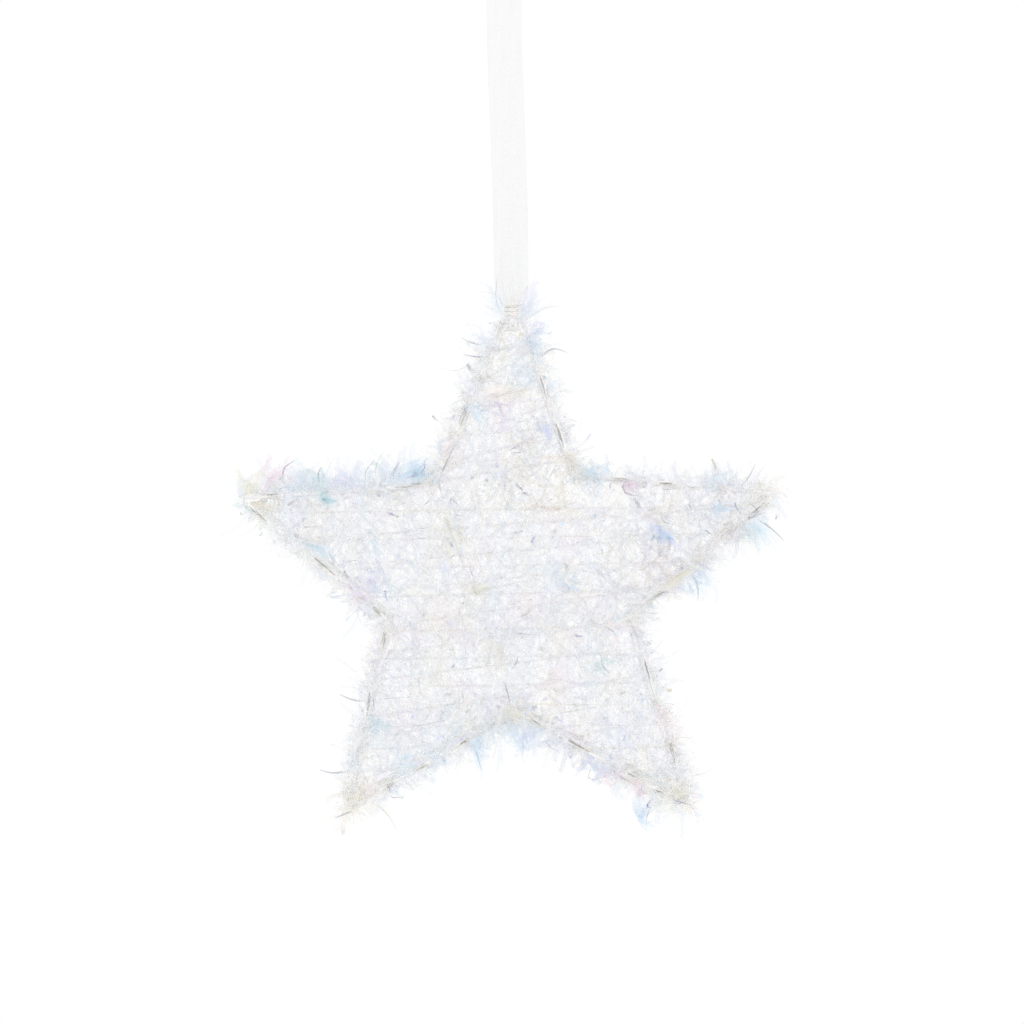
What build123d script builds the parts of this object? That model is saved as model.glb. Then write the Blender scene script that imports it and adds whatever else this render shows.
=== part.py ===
"""A five-pointed wire star wound with film tinsel, hung from a sheer ribbon loop.

Millimetres, +Z up, the front of the star towards -Y. The origin is the inside of the ribbon
loop's top, where a hook or twig carries it.
"""

import math
import os

import numpy
from build123d import *

os.makedirs("parts", exist_ok=True)

# The wire star: two bent outlines, front and rear, held apart by cross wires
tip_radius = 80.0
star_depth = 20.0
wire_diameter = 1.2
top_flat_width = 5.0
tip_bend_radius = 1.5
notch_bend_radius = 2.5

# The corners of the outline, as shares of the tip radius from the star's centre
top_height_share = 0.94
corner_shares = {
    "upper_right_notch": (0.218, 0.389),
    "right_tip": (0.945, 0.329),
    "lower_right_notch": (0.418, -0.118),
    "lower_right_tip": (0.631, -0.793),
    "bottom_notch": (0.011, -0.454),
    "lower_left_tip": (-0.602, -0.806),
    "lower_left_notch": (-0.446, -0.125),
    "left_tip": (-0.974, 0.31),
    "upper_left_notch": (-0.282, 0.36),
}

# The garland: a core thread wound in near-level rows round both outlines
core_diameter = 0.9
core_clearance = 0.3
core_tail_length = 5.0
lead_start_length = 9.0
lead_end_shares = (0.02, -0.42)
lead_turn_share = -0.43

# Each band of rows: first row's height on the left, rise to the right, fall from row to row
# and number of rows; the heights are shares of the tip radius
band_shares = {
    "top_arm": (0.831, 0.03, 0.1, 5),
    "side_arms": (0.255, 0.03, 0.1, 4),
    "waist": (-0.165, 0.02, 0.1, 3),
    "left_leg": (-0.505, 0.01, 0.08, 4),
    "right_leg": (-0.505, 0.01, 0.08, 4),
}
band_edges = {
    "top_arm": ("top_left", "upper_left_notch", "top_right", "upper_right_notch"),
    "side_arms": ("left_tip", "lower_left_notch", "right_tip", "lower_right_notch"),
    "waist": ("lower_left_notch", "lower_left_tip", "lower_right_notch", "lower_right_tip"),
    "left_leg": ("lower_left_notch", "lower_left_tip", "bottom_notch", "lower_left_tip"),
    "right_leg": ("bottom_notch", "lower_right_tip", "lower_right_notch", "lower_right_tip"),
}

# The film strips, fused to a thin slice of the core that carries them
slice_diameter = 0.6
slice_gap = 0.1
strip_length = 9.0
strip_width = 1.0
strip_tip_width = 0.7
strip_thickness = 0.2
strip_spacing = 0.6
strip_pitch = 5.4
fringe_length = 7.5
fringe_pitch = 6.0
fringe_count = 3
fringe_fan_angle = 28.0
strip_rise_angle = 60.0
strip_sway_angle = 9.0
strip_length_shares = (0.85, 1.1)
edge_length_share = 1.35
even_spread_share = 0.618

# The ribbon: a flat loop, gathered above the star and tied round the top cross wire
ribbon_drop = 105.0
ribbon_width = 10.0
ribbon_thickness = 0.3
hook_radius = 3.6
gather_top = 12.0
gather_bottom = 5.6
gather_gap = 1.2
gather_fold_count = 4
gather_fold_shares = (0.08, 0.42)
eye_wall = 1.0
eye_clearance = 0.3
eye_depth = 2.4
eye_corner_radius = 0.5
tie_diameter = 0.7
tie_gap = 0.1
tie_turns = 3
tie_pitch = 1.25
tie_start = 1.75

wire_radius = wire_diameter / 2
core_radius = core_diameter / 2
slice_radius = slice_diameter / 2
half_depth = star_depth / 2
top_height = -ribbon_drop
centre_height = top_height - top_height_share * tip_radius

# A core that hugs a wire bends round it at this radius, and lies this far from the middle plane
hug_radius = wire_radius + core_clearance + core_radius
core_layer = half_depth + hug_radius
slice_layer = core_layer + core_radius + slice_gap + slice_radius
lead_layer = slice_layer + slice_radius + core_clearance + core_radius


def corner_places():
    """Every corner of the outline in the plane y = 0, clockwise from the top as seen from the front."""
    places = {"top_right": Vector(top_flat_width / 2, 0, top_height)}
    for name, (across_share, up_share) in corner_shares.items():
        places[name] = Vector(
            across_share * tip_radius, 0, centre_height + up_share * tip_radius
        )
    places["top_left"] = Vector(-top_flat_width / 2, 0, top_height)
    return places


corners = corner_places()
corner_names = list(corners)


def bend_radius(name):
    """The bend of the outline wire at a corner."""
    return notch_bend_radius if name.endswith("notch") else tip_bend_radius


def bend_middle(name):
    """The middle of the wire's bend at a corner, and the way from the corner into the bend."""
    index = corner_names.index(name)
    corner = corners[name]
    before = (corners[corner_names[index - 1]] - corner).normalized()
    after = (corners[corner_names[(index + 1) % len(corner_names)]] - corner).normalized()
    inward = (before + after).normalized()
    half_angle = math.radians(before.get_angle(after)) / 2
    set_back = bend_radius(name) * (1 / math.sin(half_angle) - 1)
    return corner + inward * set_back, inward


def at_depth(place, depth):
    """A place in the middle plane moved to a depth, where minus is the front."""
    return Vector(place.X, depth, place.Z)


def tube_along(points, radii, diameter):
    """A round tube whose path is straight runs joined by tangent arcs, and that path."""
    with BuildPart() as tube:
        with BuildLine() as route:
            FilletPolyline(*points, radius=radii)
        path = route.wires()[0]
        with BuildSketch(Plane(origin=path @ 0, z_dir=path % 0)):
            Circle(diameter / 2)
        sweep(path=path)
    return tube.part, path


def rod_between(start, end, diameter):
    """A straight round rod."""
    with BuildPart() as rod:
        with BuildSketch(Plane(origin=start, z_dir=end - start)):
            Circle(diameter / 2)
        extrude(amount=(end - start).length)
    return rod.part


def least_self_gap(path, diameter):
    """The least gap of a wound tube to itself, measured on points along its path."""
    step = diameter
    count = int(path.length / step)
    points = numpy.array([tuple(path.position_at(i / count)) for i in range(count + 1)])
    apart = numpy.linalg.norm(points[:, None] - points[None, :], axis=2)
    along = numpy.abs(numpy.subtract.outer(range(count + 1), range(count + 1))) * step
    distant = along > math.pi * (hug_radius + diameter)
    return apart[distant].min() - diameter


def write_node(name, solid):
    """Labels a finished piece and writes its file."""
    solid.label = name
    export_step(solid, f"parts/{name}.step")


# The two outlines, each one bent wire whose ends butt against the top cross wire
for outline_name, outline_depth in (("front_outline", -half_depth), ("rear_outline", half_depth)):
    weld_right = Vector(wire_radius, outline_depth, top_height)
    weld_left = Vector(-wire_radius, outline_depth, top_height)
    bends = [at_depth(place, outline_depth) for place in corners.values()]
    outline, _ = tube_along(
        [weld_right, *bends, weld_left],
        [bend_radius(name) for name in corner_names],
        wire_diameter,
    )
    write_node(outline_name, outline)

# The cross wires: the top one carries the ribbon's eye, the others hold the outlines apart
for spacer_name in ("top", *corner_shares):
    reach = half_depth - wire_radius
    place = Vector(0, 0, top_height)
    if spacer_name == "top":
        reach = half_depth + wire_radius
    else:
        place, _ = bend_middle(spacer_name)
    spacer = rod_between(at_depth(place, -reach), at_depth(place, reach), wire_diameter)
    write_node(f"{spacer_name}_cross_wire", spacer)


def beside(edge_start, edge_end, height, side, stand_off):
    """The place beside an edge of the outline at a height, to the left (-1) or the right (1) of it."""
    start = corners[edge_start]
    along = corners[edge_end] - start
    share = (height - start.Z) / along.Z
    outward = side * stand_off * along.length / abs(along.Z)
    return Vector(start.X + share * along.X + outward, 0, height)


def rows_of(band):
    """The left and right end of each row of a band, in the middle plane."""
    first_share, rise_share, fall_share, count = band_shares[band]
    left_top, left_foot, right_top, right_foot = band_edges[band]
    rows = []
    for index in range(count):
        left_height = centre_height + (first_share - index * fall_share) * tip_radius
        right_height = left_height + rise_share * tip_radius
        left_end = beside(left_top, left_foot, left_height, -1, hug_radius)
        right_end = beside(right_top, right_foot, right_height, 1, hug_radius)
        rows.append((left_end, right_end))
    return rows


def wound_route(rows):
    """The corners of a winding: each row crosses the front to the right and the rear to the left."""
    points = []
    for left_end, right_end in rows:
        points += [at_depth(left_end, core_layer), at_depth(left_end, -core_layer)]
        points += [at_depth(right_end, -core_layer), at_depth(right_end, core_layer)]
    return points


band_rows = {band: rows_of(band) for band in band_shares}

# The long garland, from the top arm down to the tip of the left leg
long_rows = [row for band in band_rows if band != "right_leg" for row in band_rows[band]]
long_points = wound_route(long_rows)
long_points[0] = at_depth(long_rows[0][0], core_tail_length)
long_points[-1] = at_depth(long_rows[-1][1], core_tail_length)
long_core, long_path = tube_along(long_points, hug_radius, core_diameter)
write_node("long_garland_core", long_core)

# The short garland: tied at the upper left notch, laid across the front to the bottom notch
# and wound down the right leg
notch_middle, notch_outward = bend_middle("upper_left_notch")
lead_start = notch_middle + notch_outward * hug_radius
lead_end = Vector(
    lead_end_shares[0] * tip_radius, -lead_layer, centre_height + lead_end_shares[1] * tip_radius
)
lead_turn = beside(
    "lower_right_notch",
    "lower_right_tip",
    centre_height + lead_turn_share * tip_radius,
    1,
    hug_radius,
)
short_points = [
    at_depth(lead_start, lead_start_length - lead_layer),
    at_depth(lead_start, -lead_layer),
    lead_end,
    at_depth(lead_turn, -core_layer),
    at_depth(lead_turn, core_layer),
    *wound_route(band_rows["right_leg"]),
]
short_points[-1] = at_depth(band_rows["right_leg"][-1][1], core_tail_length)
short_core, short_path = tube_along(short_points, hug_radius, core_diameter)
write_node("short_garland_core", short_core)

for core_name, core_path in (("long", long_path), ("short", short_path)):
    core_gap = least_self_gap(core_path, core_diameter)
    print(f"{core_name} garland core: {core_path.length:.0f} mm long, least gap to itself {core_gap:.2f} mm")

lead_run = Edge.make_line(at_depth(lead_start, -lead_layer), lead_end)
strip_points = []


def spread(low, high):
    """The next of an even spread of values between two limits, one for each strip."""
    share = len(strip_points) * even_spread_share % 1
    return low + (high - low) * share


def nearest_strip(points):
    """How near the middle line of a new strip comes to those of the strips before it."""
    if not strip_points:
        return math.inf
    others = numpy.array(strip_points)
    return numpy.linalg.norm(points[None, :, None] - others[:, None, :], axis=3).min()


def strip(root, aim, across, full_length):
    """One flat film strip, four-sided and tapering, from the middle of its slice.

    A strip that would cross another, or the short garland's lead over the front, is left out.
    """
    aim = aim.normalized()
    length = full_length * spread(*strip_length_shares)
    line = Edge.make_line(root, root + aim * length)
    points = numpy.array([tuple(line @ (step / 8)) for step in range(9)])
    if line.distance_to(lead_run) < core_radius + core_clearance + strip_width:
        return []
    if nearest_strip(points) < strip_width + strip_spacing:
        return []
    strip_points.append(points)
    flat = aim.cross(across).normalized()
    face = Plane(origin=root - flat * strip_thickness / 2, x_dir=aim, z_dir=flat)
    with BuildPart() as blade:
        with BuildSketch(face):
            with BuildLine():
                Polyline(
                    (0, -strip_width / 2),
                    (length, -strip_tip_width / 2),
                    (length, strip_tip_width / 2),
                    (0, strip_width / 2),
                    close=True,
                )
            make_face()
        extrude(amount=strip_thickness)
    return [blade.part]


def face_slice(start, end, side, up_length):
    """A slice of the core along one run on the front (-1) or rear (1), with strips up and down."""
    trim = (end - start).normalized() * (hug_radius + slice_diameter)
    start, end = at_depth(start + trim, side * slice_layer), at_depth(end - trim, side * slice_layer)
    pieces = [rod_between(start, end, slice_diameter)]
    low, high = sorted((start.X, end.X))
    for column in range(math.ceil(low / strip_pitch), math.floor(high / strip_pitch) + 1):
        share = (column * strip_pitch - start.X) / (end.X - start.X)
        root = start + (end - start) * share
        rise = math.radians(strip_rise_angle)
        sway = math.radians(spread(-strip_sway_angle, strip_sway_angle))
        up = math.sin(rise) * (-1) ** column
        aim = Vector(math.sin(sway), side * math.cos(rise), up)
        pieces += strip(root, aim, Vector(1, 0, 0), up_length if up > 0 else strip_length)
    return pieces


def fringe_slice(place, edge_start, edge_end, side):
    """A slice of the core along one end of a row, left (-1) or right (1), with strips fanned outwards."""
    along = (corners[edge_end] - corners[edge_start]).normalized()
    square = Vector(-along.Z, 0, along.X) * side
    out = place + square * (core_radius + slice_gap + slice_radius)
    reach = fringe_pitch * (fringe_count - 1) / 2 + strip_width
    pieces = [rod_between(at_depth(out, -reach), at_depth(out, reach), slice_diameter)]
    for index in range(fringe_count):
        step = index - (fringe_count - 1) / 2
        fan = math.radians(fringe_fan_angle * step)
        aim = square * math.cos(fan) + along * math.sin(fan) + Vector(0, math.sin(fan) / fringe_count, 0)
        pieces += strip(at_depth(out, fringe_pitch * step), aim, along, fringe_length)
    return pieces


# The tinsel, one node for each band of rows
for band, rows in band_rows.items():
    left_top, left_foot, right_top, right_foot = band_edges[band]
    band_pieces = []
    for index, (left_end, right_end) in enumerate(rows):
        up_length = strip_length * (1 if index else edge_length_share)
        band_pieces += face_slice(left_end, right_end, -1, up_length)
        if index + 1 < len(rows):
            band_pieces += face_slice(right_end, rows[index + 1][0], 1, up_length)
        band_pieces += fringe_slice(left_end, left_top, left_foot, -1)
        band_pieces += fringe_slice(right_end, right_top, right_foot, 1)
    with BuildPart() as tinsel:
        add(band_pieces)
    write_node(f"{band}_tinsel", tinsel.part)

least_strip_gap = min(
    numpy.linalg.norm(points[None, :, None] - numpy.array(strip_points[:index])[:, None, :], axis=3).min()
    for index, points in enumerate(strip_points)
    if index
)
print(f"{len(strip_points)} strips, their middle lines at least {least_strip_gap:.2f} mm apart")


def above_top(height):
    """A height measured up from the top cross wire."""
    return top_height + height


# The ribbon's flat loop, from the gather up over the hook and down again
with BuildPart() as ribbon_loop:
    with BuildSketch(Plane.YZ):
        for layer, mode in ((ribbon_thickness, Mode.ADD), (0, Mode.SUBTRACT)):
            foot = gather_gap / 2 + layer
            with BuildSketch(mode=Mode.PRIVATE) as teardrop:
                with BuildLine():
                    CenterArc((0, -hook_radius), hook_radius + layer, 0, 360)
                    Line((-foot, above_top(gather_top)), (foot, above_top(gather_top)))
                make_hull()
            add(teardrop.sketch, mode=mode)
    extrude(amount=ribbon_width / 2, both=True)
write_node("ribbon_loop", ribbon_loop.part)


def fold_line(width, middle, fold_depth, height):
    """The folded outline of one ribbon layer, a zigzag of even folds with the ribbon's thickness."""
    folds = range(2 * gather_fold_count + 1)
    places = [(width * (fold / (2 * gather_fold_count) - 1 / 2), fold % 2 - 1 / 2) for fold in folds]
    front = [(x, middle + fold_depth * wave - ribbon_thickness / 2) for x, wave in places]
    rear = [(x, middle + fold_depth * wave + ribbon_thickness / 2) for x, wave in places]
    return front + rear[::-1]


# The gathered stretch, front and rear layers, folding together down to the tie
eye_radius = wire_radius + eye_clearance + eye_wall
gather_sizes = (
    (ribbon_width, gather_gap / 2 + ribbon_thickness / 2, gather_fold_shares[0], gather_top),
    (2 * eye_radius, eye_depth / 4, gather_fold_shares[1], gather_bottom),
)
for gather_name, side in (("front_ribbon_gather", -1), ("rear_ribbon_gather", 1)):
    with BuildPart() as gather:
        for width, middle, fold_share, height in gather_sizes:
            fold_depth = fold_share * eye_depth / 2
            with BuildSketch(Plane.XY.offset(above_top(height))):
                with BuildLine():
                    Polyline(*fold_line(width, side * middle, fold_depth, height), close=True)
                make_face()
        loft(ruled=True)
    write_node(gather_name, gather.part)

# The ribbon's eye round the top cross wire, both layers bunched together
with BuildPart() as ribbon_eye:
    with BuildSketch(Plane.XZ.offset(-eye_depth / 2)):
        with Locations((0, top_height)):
            Circle(eye_radius)
        with Locations((0, above_top(gather_bottom / 2))):
            Rectangle(2 * eye_radius, gather_bottom)
        with Locations((0, top_height)):
            Circle(wire_radius + eye_clearance, mode=Mode.SUBTRACT)
    extrude(amount=eye_depth)
    fillet(ribbon_eye.edges().filter_by(Axis.Z), eye_corner_radius)
write_node("ribbon_eye", ribbon_eye.part)

# The tie: a thread wound round the bunched ribbon above the eye
tie_reach = tie_gap + tie_diameter / 2
tie_half_width = eye_radius + tie_reach
tie_half_depth = eye_depth / 2 + tie_reach
tie_points = []
for quarter in range(4 * tie_turns + 2):
    side = -1 if quarter % 4 in (0, 3) else 1
    depth_side = -1 if quarter % 4 < 2 else 1
    tie_height = above_top(tie_start + tie_pitch * quarter / 4)
    tie_points.append(Vector(side * tie_half_width, depth_side * tie_half_depth, tie_height))
ribbon_tie, tie_path = tube_along(tie_points, eye_corner_radius + tie_reach, tie_diameter)
write_node("ribbon_tie", ribbon_tie)
print(f"tie: {tie_path.length:.0f} mm long, least gap to itself {tie_pitch - tie_diameter:.2f} mm")
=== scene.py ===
"""A hanging star of bent wire, dressed in pearly film tinsel and hung by a sheer organza ribbon.

Metres, +Z up, the front of the star towards -Y. The origin is the inside of the ribbon loop's top.
"""

import logging
import math
from collections.abc import Callable
from dataclasses import dataclass, field
from enum import Enum

import bpy
import numpy as np
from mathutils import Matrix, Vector


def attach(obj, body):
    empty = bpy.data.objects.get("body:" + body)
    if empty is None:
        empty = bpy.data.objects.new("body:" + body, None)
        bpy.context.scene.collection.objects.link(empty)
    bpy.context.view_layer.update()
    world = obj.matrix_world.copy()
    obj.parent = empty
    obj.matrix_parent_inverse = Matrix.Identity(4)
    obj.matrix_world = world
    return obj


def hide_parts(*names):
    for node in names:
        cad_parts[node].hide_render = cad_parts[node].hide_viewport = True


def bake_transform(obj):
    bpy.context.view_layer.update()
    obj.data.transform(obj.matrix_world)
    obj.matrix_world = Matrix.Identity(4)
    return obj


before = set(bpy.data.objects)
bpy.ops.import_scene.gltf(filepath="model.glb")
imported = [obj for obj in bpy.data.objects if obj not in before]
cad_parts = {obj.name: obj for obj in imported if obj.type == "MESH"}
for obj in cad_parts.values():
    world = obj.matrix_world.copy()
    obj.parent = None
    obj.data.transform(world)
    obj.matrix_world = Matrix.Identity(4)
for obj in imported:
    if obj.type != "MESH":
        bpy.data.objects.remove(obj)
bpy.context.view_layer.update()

log = logging.getLogger("tinsel_star")

Array = np.ndarray
Colour = tuple[float, float, float]
Edge = tuple[str, str]
FRONT, REAR = -1.0, 1.0
THROUGH = (0.0, 1.0, 0.0)
FULL_TURN = 2 * math.pi


def linear(colour: tuple[float, ...]) -> Colour:
    """The scene's linear light for a colour written in sRGB.

    Args:
        colour: red, green and blue from 0 to 1.

    Returns:
        The three linear values.
    """
    low, offset, scale, power = 0.04045, 0.055, 12.92, 2.4
    return tuple(c / scale if c <= low else ((c + offset) / (1 + offset)) ** power for c in colour[:3])


def opaque(colour: Colour) -> tuple[float, float, float, float]:
    """A colour written in sRGB, as a shader takes it."""
    return (*linear(colour), 1.0)


def unit(vectors: Array) -> Array:
    """The vectors at length one, whether one vector or rows of them."""
    return vectors / np.maximum(np.linalg.norm(vectors, axis=-1, keepdims=True), 1e-12)


def distances(points: Array) -> Array:
    """How far along a line each of its points lies."""
    return np.concatenate([[0], np.cumsum(np.linalg.norm(np.diff(points, axis=0), axis=1))])


def at_depth(place: Array, depth: float) -> Array:
    """A place in the middle plane moved to a depth, where minus is the front."""
    return np.array([place[0], depth, place[2]])


class Tint(Enum):
    """The colours that the film and threads show, as written in sRGB."""

    LAVENDER = (0.93, 0.91, 0.99)
    ICE = (0.970, 0.989, 1.0)
    SAND = (0.995, 0.978, 0.915)
    CREAM = (1.0, 0.988, 0.955)
    MIST = (0.90, 0.955, 1.0)
    PERIWINKLE = (0.86, 0.89, 0.99)
    SKY = (0.82, 0.925, 0.99)
    TEAL = (0.78, 0.905, 0.93)
    ROSE = (0.945, 0.84, 0.915)
    OLIVE = (0.80, 0.785, 0.70)
    STRAW = (0.935, 0.925, 0.86)
    # A neutral grey that darkens the film in a few washes: painted shade.
    PEARL = (0.935, 0.925, 0.93)
    # SLATE, NAVY and PLUM, with OLIVE above, colour short dark strips that are partly darker film and partly
    # painted shade, for film seen edge on and shadows between strips.
    SLATE = (0.50, 0.54, 0.61)
    NAVY = (0.36, 0.43, 0.64)
    PLUM = (0.54, 0.38, 0.54)
    # A dark grey used only for the painted shade along the bare wires.
    DUSK = (0.42, 0.42, 0.45)

    @property
    def light(self) -> Array:
        """The colour in linear light."""
        return np.array(linear(self.value))


(LAVENDER, ICE, SAND, CREAM, MIST, PERIWINKLE, SKY, TEAL,
 ROSE, OLIVE, STRAW, PEARL, SLATE, NAVY, PLUM, DUSK) = Tint


class Socket:
    """A shader value, whose arithmetic adds Math nodes."""

    def __init__(self, canvas: "Canvas", end: bpy.types.NodeSocket) -> None:
        """Wraps one output socket of a canvas."""
        self.canvas, self.end = canvas, end

    def _math(self, operation: str, *values: object) -> "Socket":
        """A Math node on values or sockets."""
        node = self.canvas.node("ShaderNodeMath", {"operation": operation}, dict(enumerate(values)))
        return self.canvas.out(node, 0)

    def __add__(self, other: object) -> "Socket":
        """This value plus another."""
        return self._math("ADD", self, other)

    __radd__ = __add__

    def __sub__(self, other: object) -> "Socket":
        """This value less another."""
        return self._math("SUBTRACT", self, other)

    def __rsub__(self, other: object) -> "Socket":
        """Another value less this one."""
        return self._math("SUBTRACT", other, self)

    def __mul__(self, other: object) -> "Socket":
        """This value times another."""
        return self._math("MULTIPLY", self, other)

    __rmul__ = __mul__

    def sine(self) -> "Socket":
        """The sine of this value."""
        return self._math("SINE", self)

    def at_most(self, limit: float) -> "Socket":
        """This value, or the limit where it is above that."""
        return self._math("MINIMUM", self, limit)


class Canvas:
    """The node tree of one material or of the world."""

    def __init__(self, tree: bpy.types.NodeTree) -> None:
        """Empties the tree."""
        self.tree = tree
        tree.nodes.clear()

    def node(self, kind: str, settings: dict | None = None, inputs: dict | None = None) -> bpy.types.Node:
        """Adds a node.

        Args:
            kind: the node's type.
            settings: its own settings, and "stops" for a ramp's places and colours.
            inputs: for each input, by name or number, a value or what feeds it.

        Returns:
            The new node.
        """
        made = self.tree.nodes.new(kind)
        for name, value in (settings or {}).items():
            if name != "stops":
                setattr(made, name, value)
                continue
            elements = made.color_ramp.elements
            while len(elements) < len(value):
                elements.new(0.5)
            for element, (place, colour) in zip(elements, value):
                element.position, element.color = place, (*colour, 1.0)
        for key, value in (inputs or {}).items():
            if isinstance(value, Socket):
                self.tree.links.new(value.end, made.inputs[key])
            else:
                made.inputs[key].default_value = value
        return made

    def out(self, node: bpy.types.Node, key: int | str) -> Socket:
        """One output of a node, ready for arithmetic."""
        return Socket(self, node.outputs[key])

    def noise(self, place: Socket, scale: float, detail: float = 2.0, roughness: float = 0.5) -> Socket:
        """Cloudy noise from 0 to 1 at a place."""
        inputs = {"Vector": place, "Scale": scale, "Detail": detail, "Roughness": roughness}
        return self.out(self.node("ShaderNodeTexNoise", {}, inputs), 0)

    def mixed(self, share: object, first: object, second: object, blend: str = "MIX") -> Socket:
        """Two colours mixed.

        Args:
            share: how much of the second colour shows, a value or a socket.
            first: the first colour, four numbers or a socket.
            second: the second colour, four numbers or a socket.
            blend: the way of mixing.

        Returns:
            The mixed colour.
        """
        settings = {"data_type": "RGBA", "blend_type": blend}
        return self.out(self.node("ShaderNodeMix", settings, {0: share, 6: first, 7: second}), 2)

    def ramp(self, value: Socket, stops: list[tuple[float, Colour]]) -> Socket:
        """A colour that follows a value through these places and linear colours."""
        return self.out(self.node("ShaderNodeValToRGB", {"stops": stops}, {0: value}), 0)

    def risen(self, value: Socket, low: float, high: float) -> Socket:
        """How far a value has risen from one number to another, from 0 to 1."""
        return self.ramp(value, [(low, (0, 0, 0)), (high, (1, 1, 1))])

    def spots(self) -> Socket:
        """Places on the piece, in metres."""
        return self.out(self.node("ShaderNodeTexCoord"), "Object")

    def parts(self, place: Socket) -> tuple[Socket, Socket, Socket]:
        """The three numbers of a place."""
        node = self.node("ShaderNodeSeparateXYZ", {}, {0: place})
        return self.out(node, 0), self.out(node, 1), self.out(node, 2)

    def stored(self, name: str, output: str) -> Socket:
        """A value that the mesh holds under a name."""
        return self.out(self.node("ShaderNodeAttribute", {"attribute_name": name}), output)

    def bumped(self, height: Socket, strength: float, distance: float) -> Socket:
        """A normal that follows a height."""
        inputs = {"Height": height, "Strength": strength, "Distance": distance}
        return self.out(self.node("ShaderNodeBump", {}, inputs), "Normal")

    def surface(self, inputs: dict) -> None:
        """Ends the tree in one Principled shader with these inputs."""
        shader = self.node("ShaderNodeBsdfPrincipled", {}, inputs)
        self.node("ShaderNodeOutputMaterial", {}, {"Surface": self.out(shader, 0)})


def new_material(name: str, sheer: bool = False) -> tuple[bpy.types.Material, Canvas]:
    """A material with an empty node tree.

    Args:
        name: its name.
        sheer: whether it is blended with what lies behind it.

    Returns:
        The material, and the canvas for its nodes.
    """
    material = bpy.data.materials.new(name)
    material.use_nodes = True
    if sheer:
        material.surface_render_method = "BLENDED"
    return material, Canvas(material.node_tree)


@dataclass(frozen=True)
class PaintedWire:
    """Thin steel wire in a worn silver-grey paint, cloudy along its length and scuffed in places."""

    paint: Colour = (0.985, 0.982, 0.975)
    worn: Colour = (0.86, 0.85, 0.83)
    cloud_scale: float = 160.0
    scuff_scale: float = 900.0
    worn_between: tuple[float, float] = (0.46, 0.64)
    scuff_depth: float = 0.00005

    def material(self) -> bpy.types.Material:
        """Mixes the paint and its wear by two noises.

        Returns:
            The material.
        """
        material, canvas = new_material("painted_wire")
        place = canvas.spots()
        cloud = canvas.noise(place, self.cloud_scale, 3.0)
        scuffs = canvas.noise(place, self.scuff_scale, 4.0, 0.7)
        worn = canvas.risen(cloud * 0.6 + scuffs * 0.4, *self.worn_between)
        canvas.surface({
            "Base Color": canvas.mixed(worn, opaque(self.paint), opaque(self.worn)),
            "Roughness": 0.35 + 0.25 * scuffs,
            "Metallic": 0.3,
            "Normal": canvas.bumped(scuffs, 0.35, self.scuff_depth),
        })
        return material


@dataclass(frozen=True)
class CoreThread:
    """Twisted thread of the garland's core, creamy and slightly fuzzy.

    Attributes:
        pale: the colour of its clear lengths.
        dark: the colour of its dense lengths.
        dark_between: where the mixed noise starts to darken and where it is all dark.
    """

    name: str = "core_thread"
    pale: Colour = (0.995, 0.992, 0.98)
    dark: Colour = (0.92, 0.91, 0.87)
    clearest: float = 0.15
    densest: float = 0.36
    length_scale: float = 90.0
    fibre_scale: float = 2600.0
    dark_between: tuple[float, float] = (0.46, 0.70)
    fibre_depth: float = 0.00008

    def material(self) -> bpy.types.Material:
        """Makes the thread half clear, with fine fibres and darker, denser lengths.

        Returns:
            The material.
        """
        material, canvas = new_material(self.name, sheer=True)
        place = canvas.spots()
        fibres = canvas.noise(place, self.fibre_scale, 3.0, 0.7)
        lengths = canvas.noise(place, self.length_scale, 2.0)
        dark = canvas.risen(lengths * 0.7 + fibres * 0.3, *self.dark_between)
        canvas.surface({
            "Base Color": canvas.mixed(dark, opaque(self.pale), opaque(self.dark)),
            "Alpha": self.clearest + (self.densest - self.clearest) * dark,
            "Roughness": 0.55 + 0.3 * fibres,
            "Normal": canvas.bumped(fibres, 0.5, self.fibre_depth),
        })
        return material


@dataclass(frozen=True)
class PearlFilm:
    """Thin iridescent film. Each strip holds its own tint, with painted shade along one side, and its
    clearness.

    Attributes:
        film_thickness: the thickness of its gloss's film, in nanometres.
        glow: the faint colours that drift over it, at places from 0 to 1.
    """

    film_thickness: float = 280.0
    film_ior: float = 1.33
    ior: float = 1.45
    glow: tuple[tuple[float, Colour], ...] = (
        (0.30, (0.970, 0.988, 1.0)), (0.46, (0.998, 0.998, 1.0)),
        (0.60, (0.997, 0.988, 1.0)), (0.72, (1.0, 0.996, 0.985)),
    )
    drift_scale: float = 800.0
    crinkle_scale: float = 2400.0
    crinkle_depth: float = 0.0001

    def material(self) -> bpy.types.Material:
        """Tints each strip by its own values, with fine crinkles and a pearly gloss.

        Returns:
            The material.
        """
        material, canvas = new_material("pearl_film", sheer=True)
        # The stored colour is each strip's tint with painted shade along one side.
        tint = canvas.stored("film_tint", "Color")
        clear = canvas.stored("film_clear", "Fac")
        place = canvas.spots()
        drift = canvas.noise(place, self.drift_scale, 3.0, 0.6)
        crinkle = canvas.noise(place, self.crinkle_scale, 2.0, 0.6)
        glow = canvas.ramp(drift, [(stop, linear(colour)) for stop, colour in self.glow])
        canvas.surface({
            "Base Color": canvas.mixed(1.0, tint, glow, "MULTIPLY"),
            "Roughness": 0.22 + 0.3 * crinkle,
            "IOR": self.ior,
            "Alpha": clear * (0.8 + 0.4 * drift),
            "Thin Film Thickness": self.film_thickness,
            "Thin Film IOR": self.film_ior,
            "Normal": canvas.bumped(crinkle, 0.4, self.crinkle_depth),
        })
        return material


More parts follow.
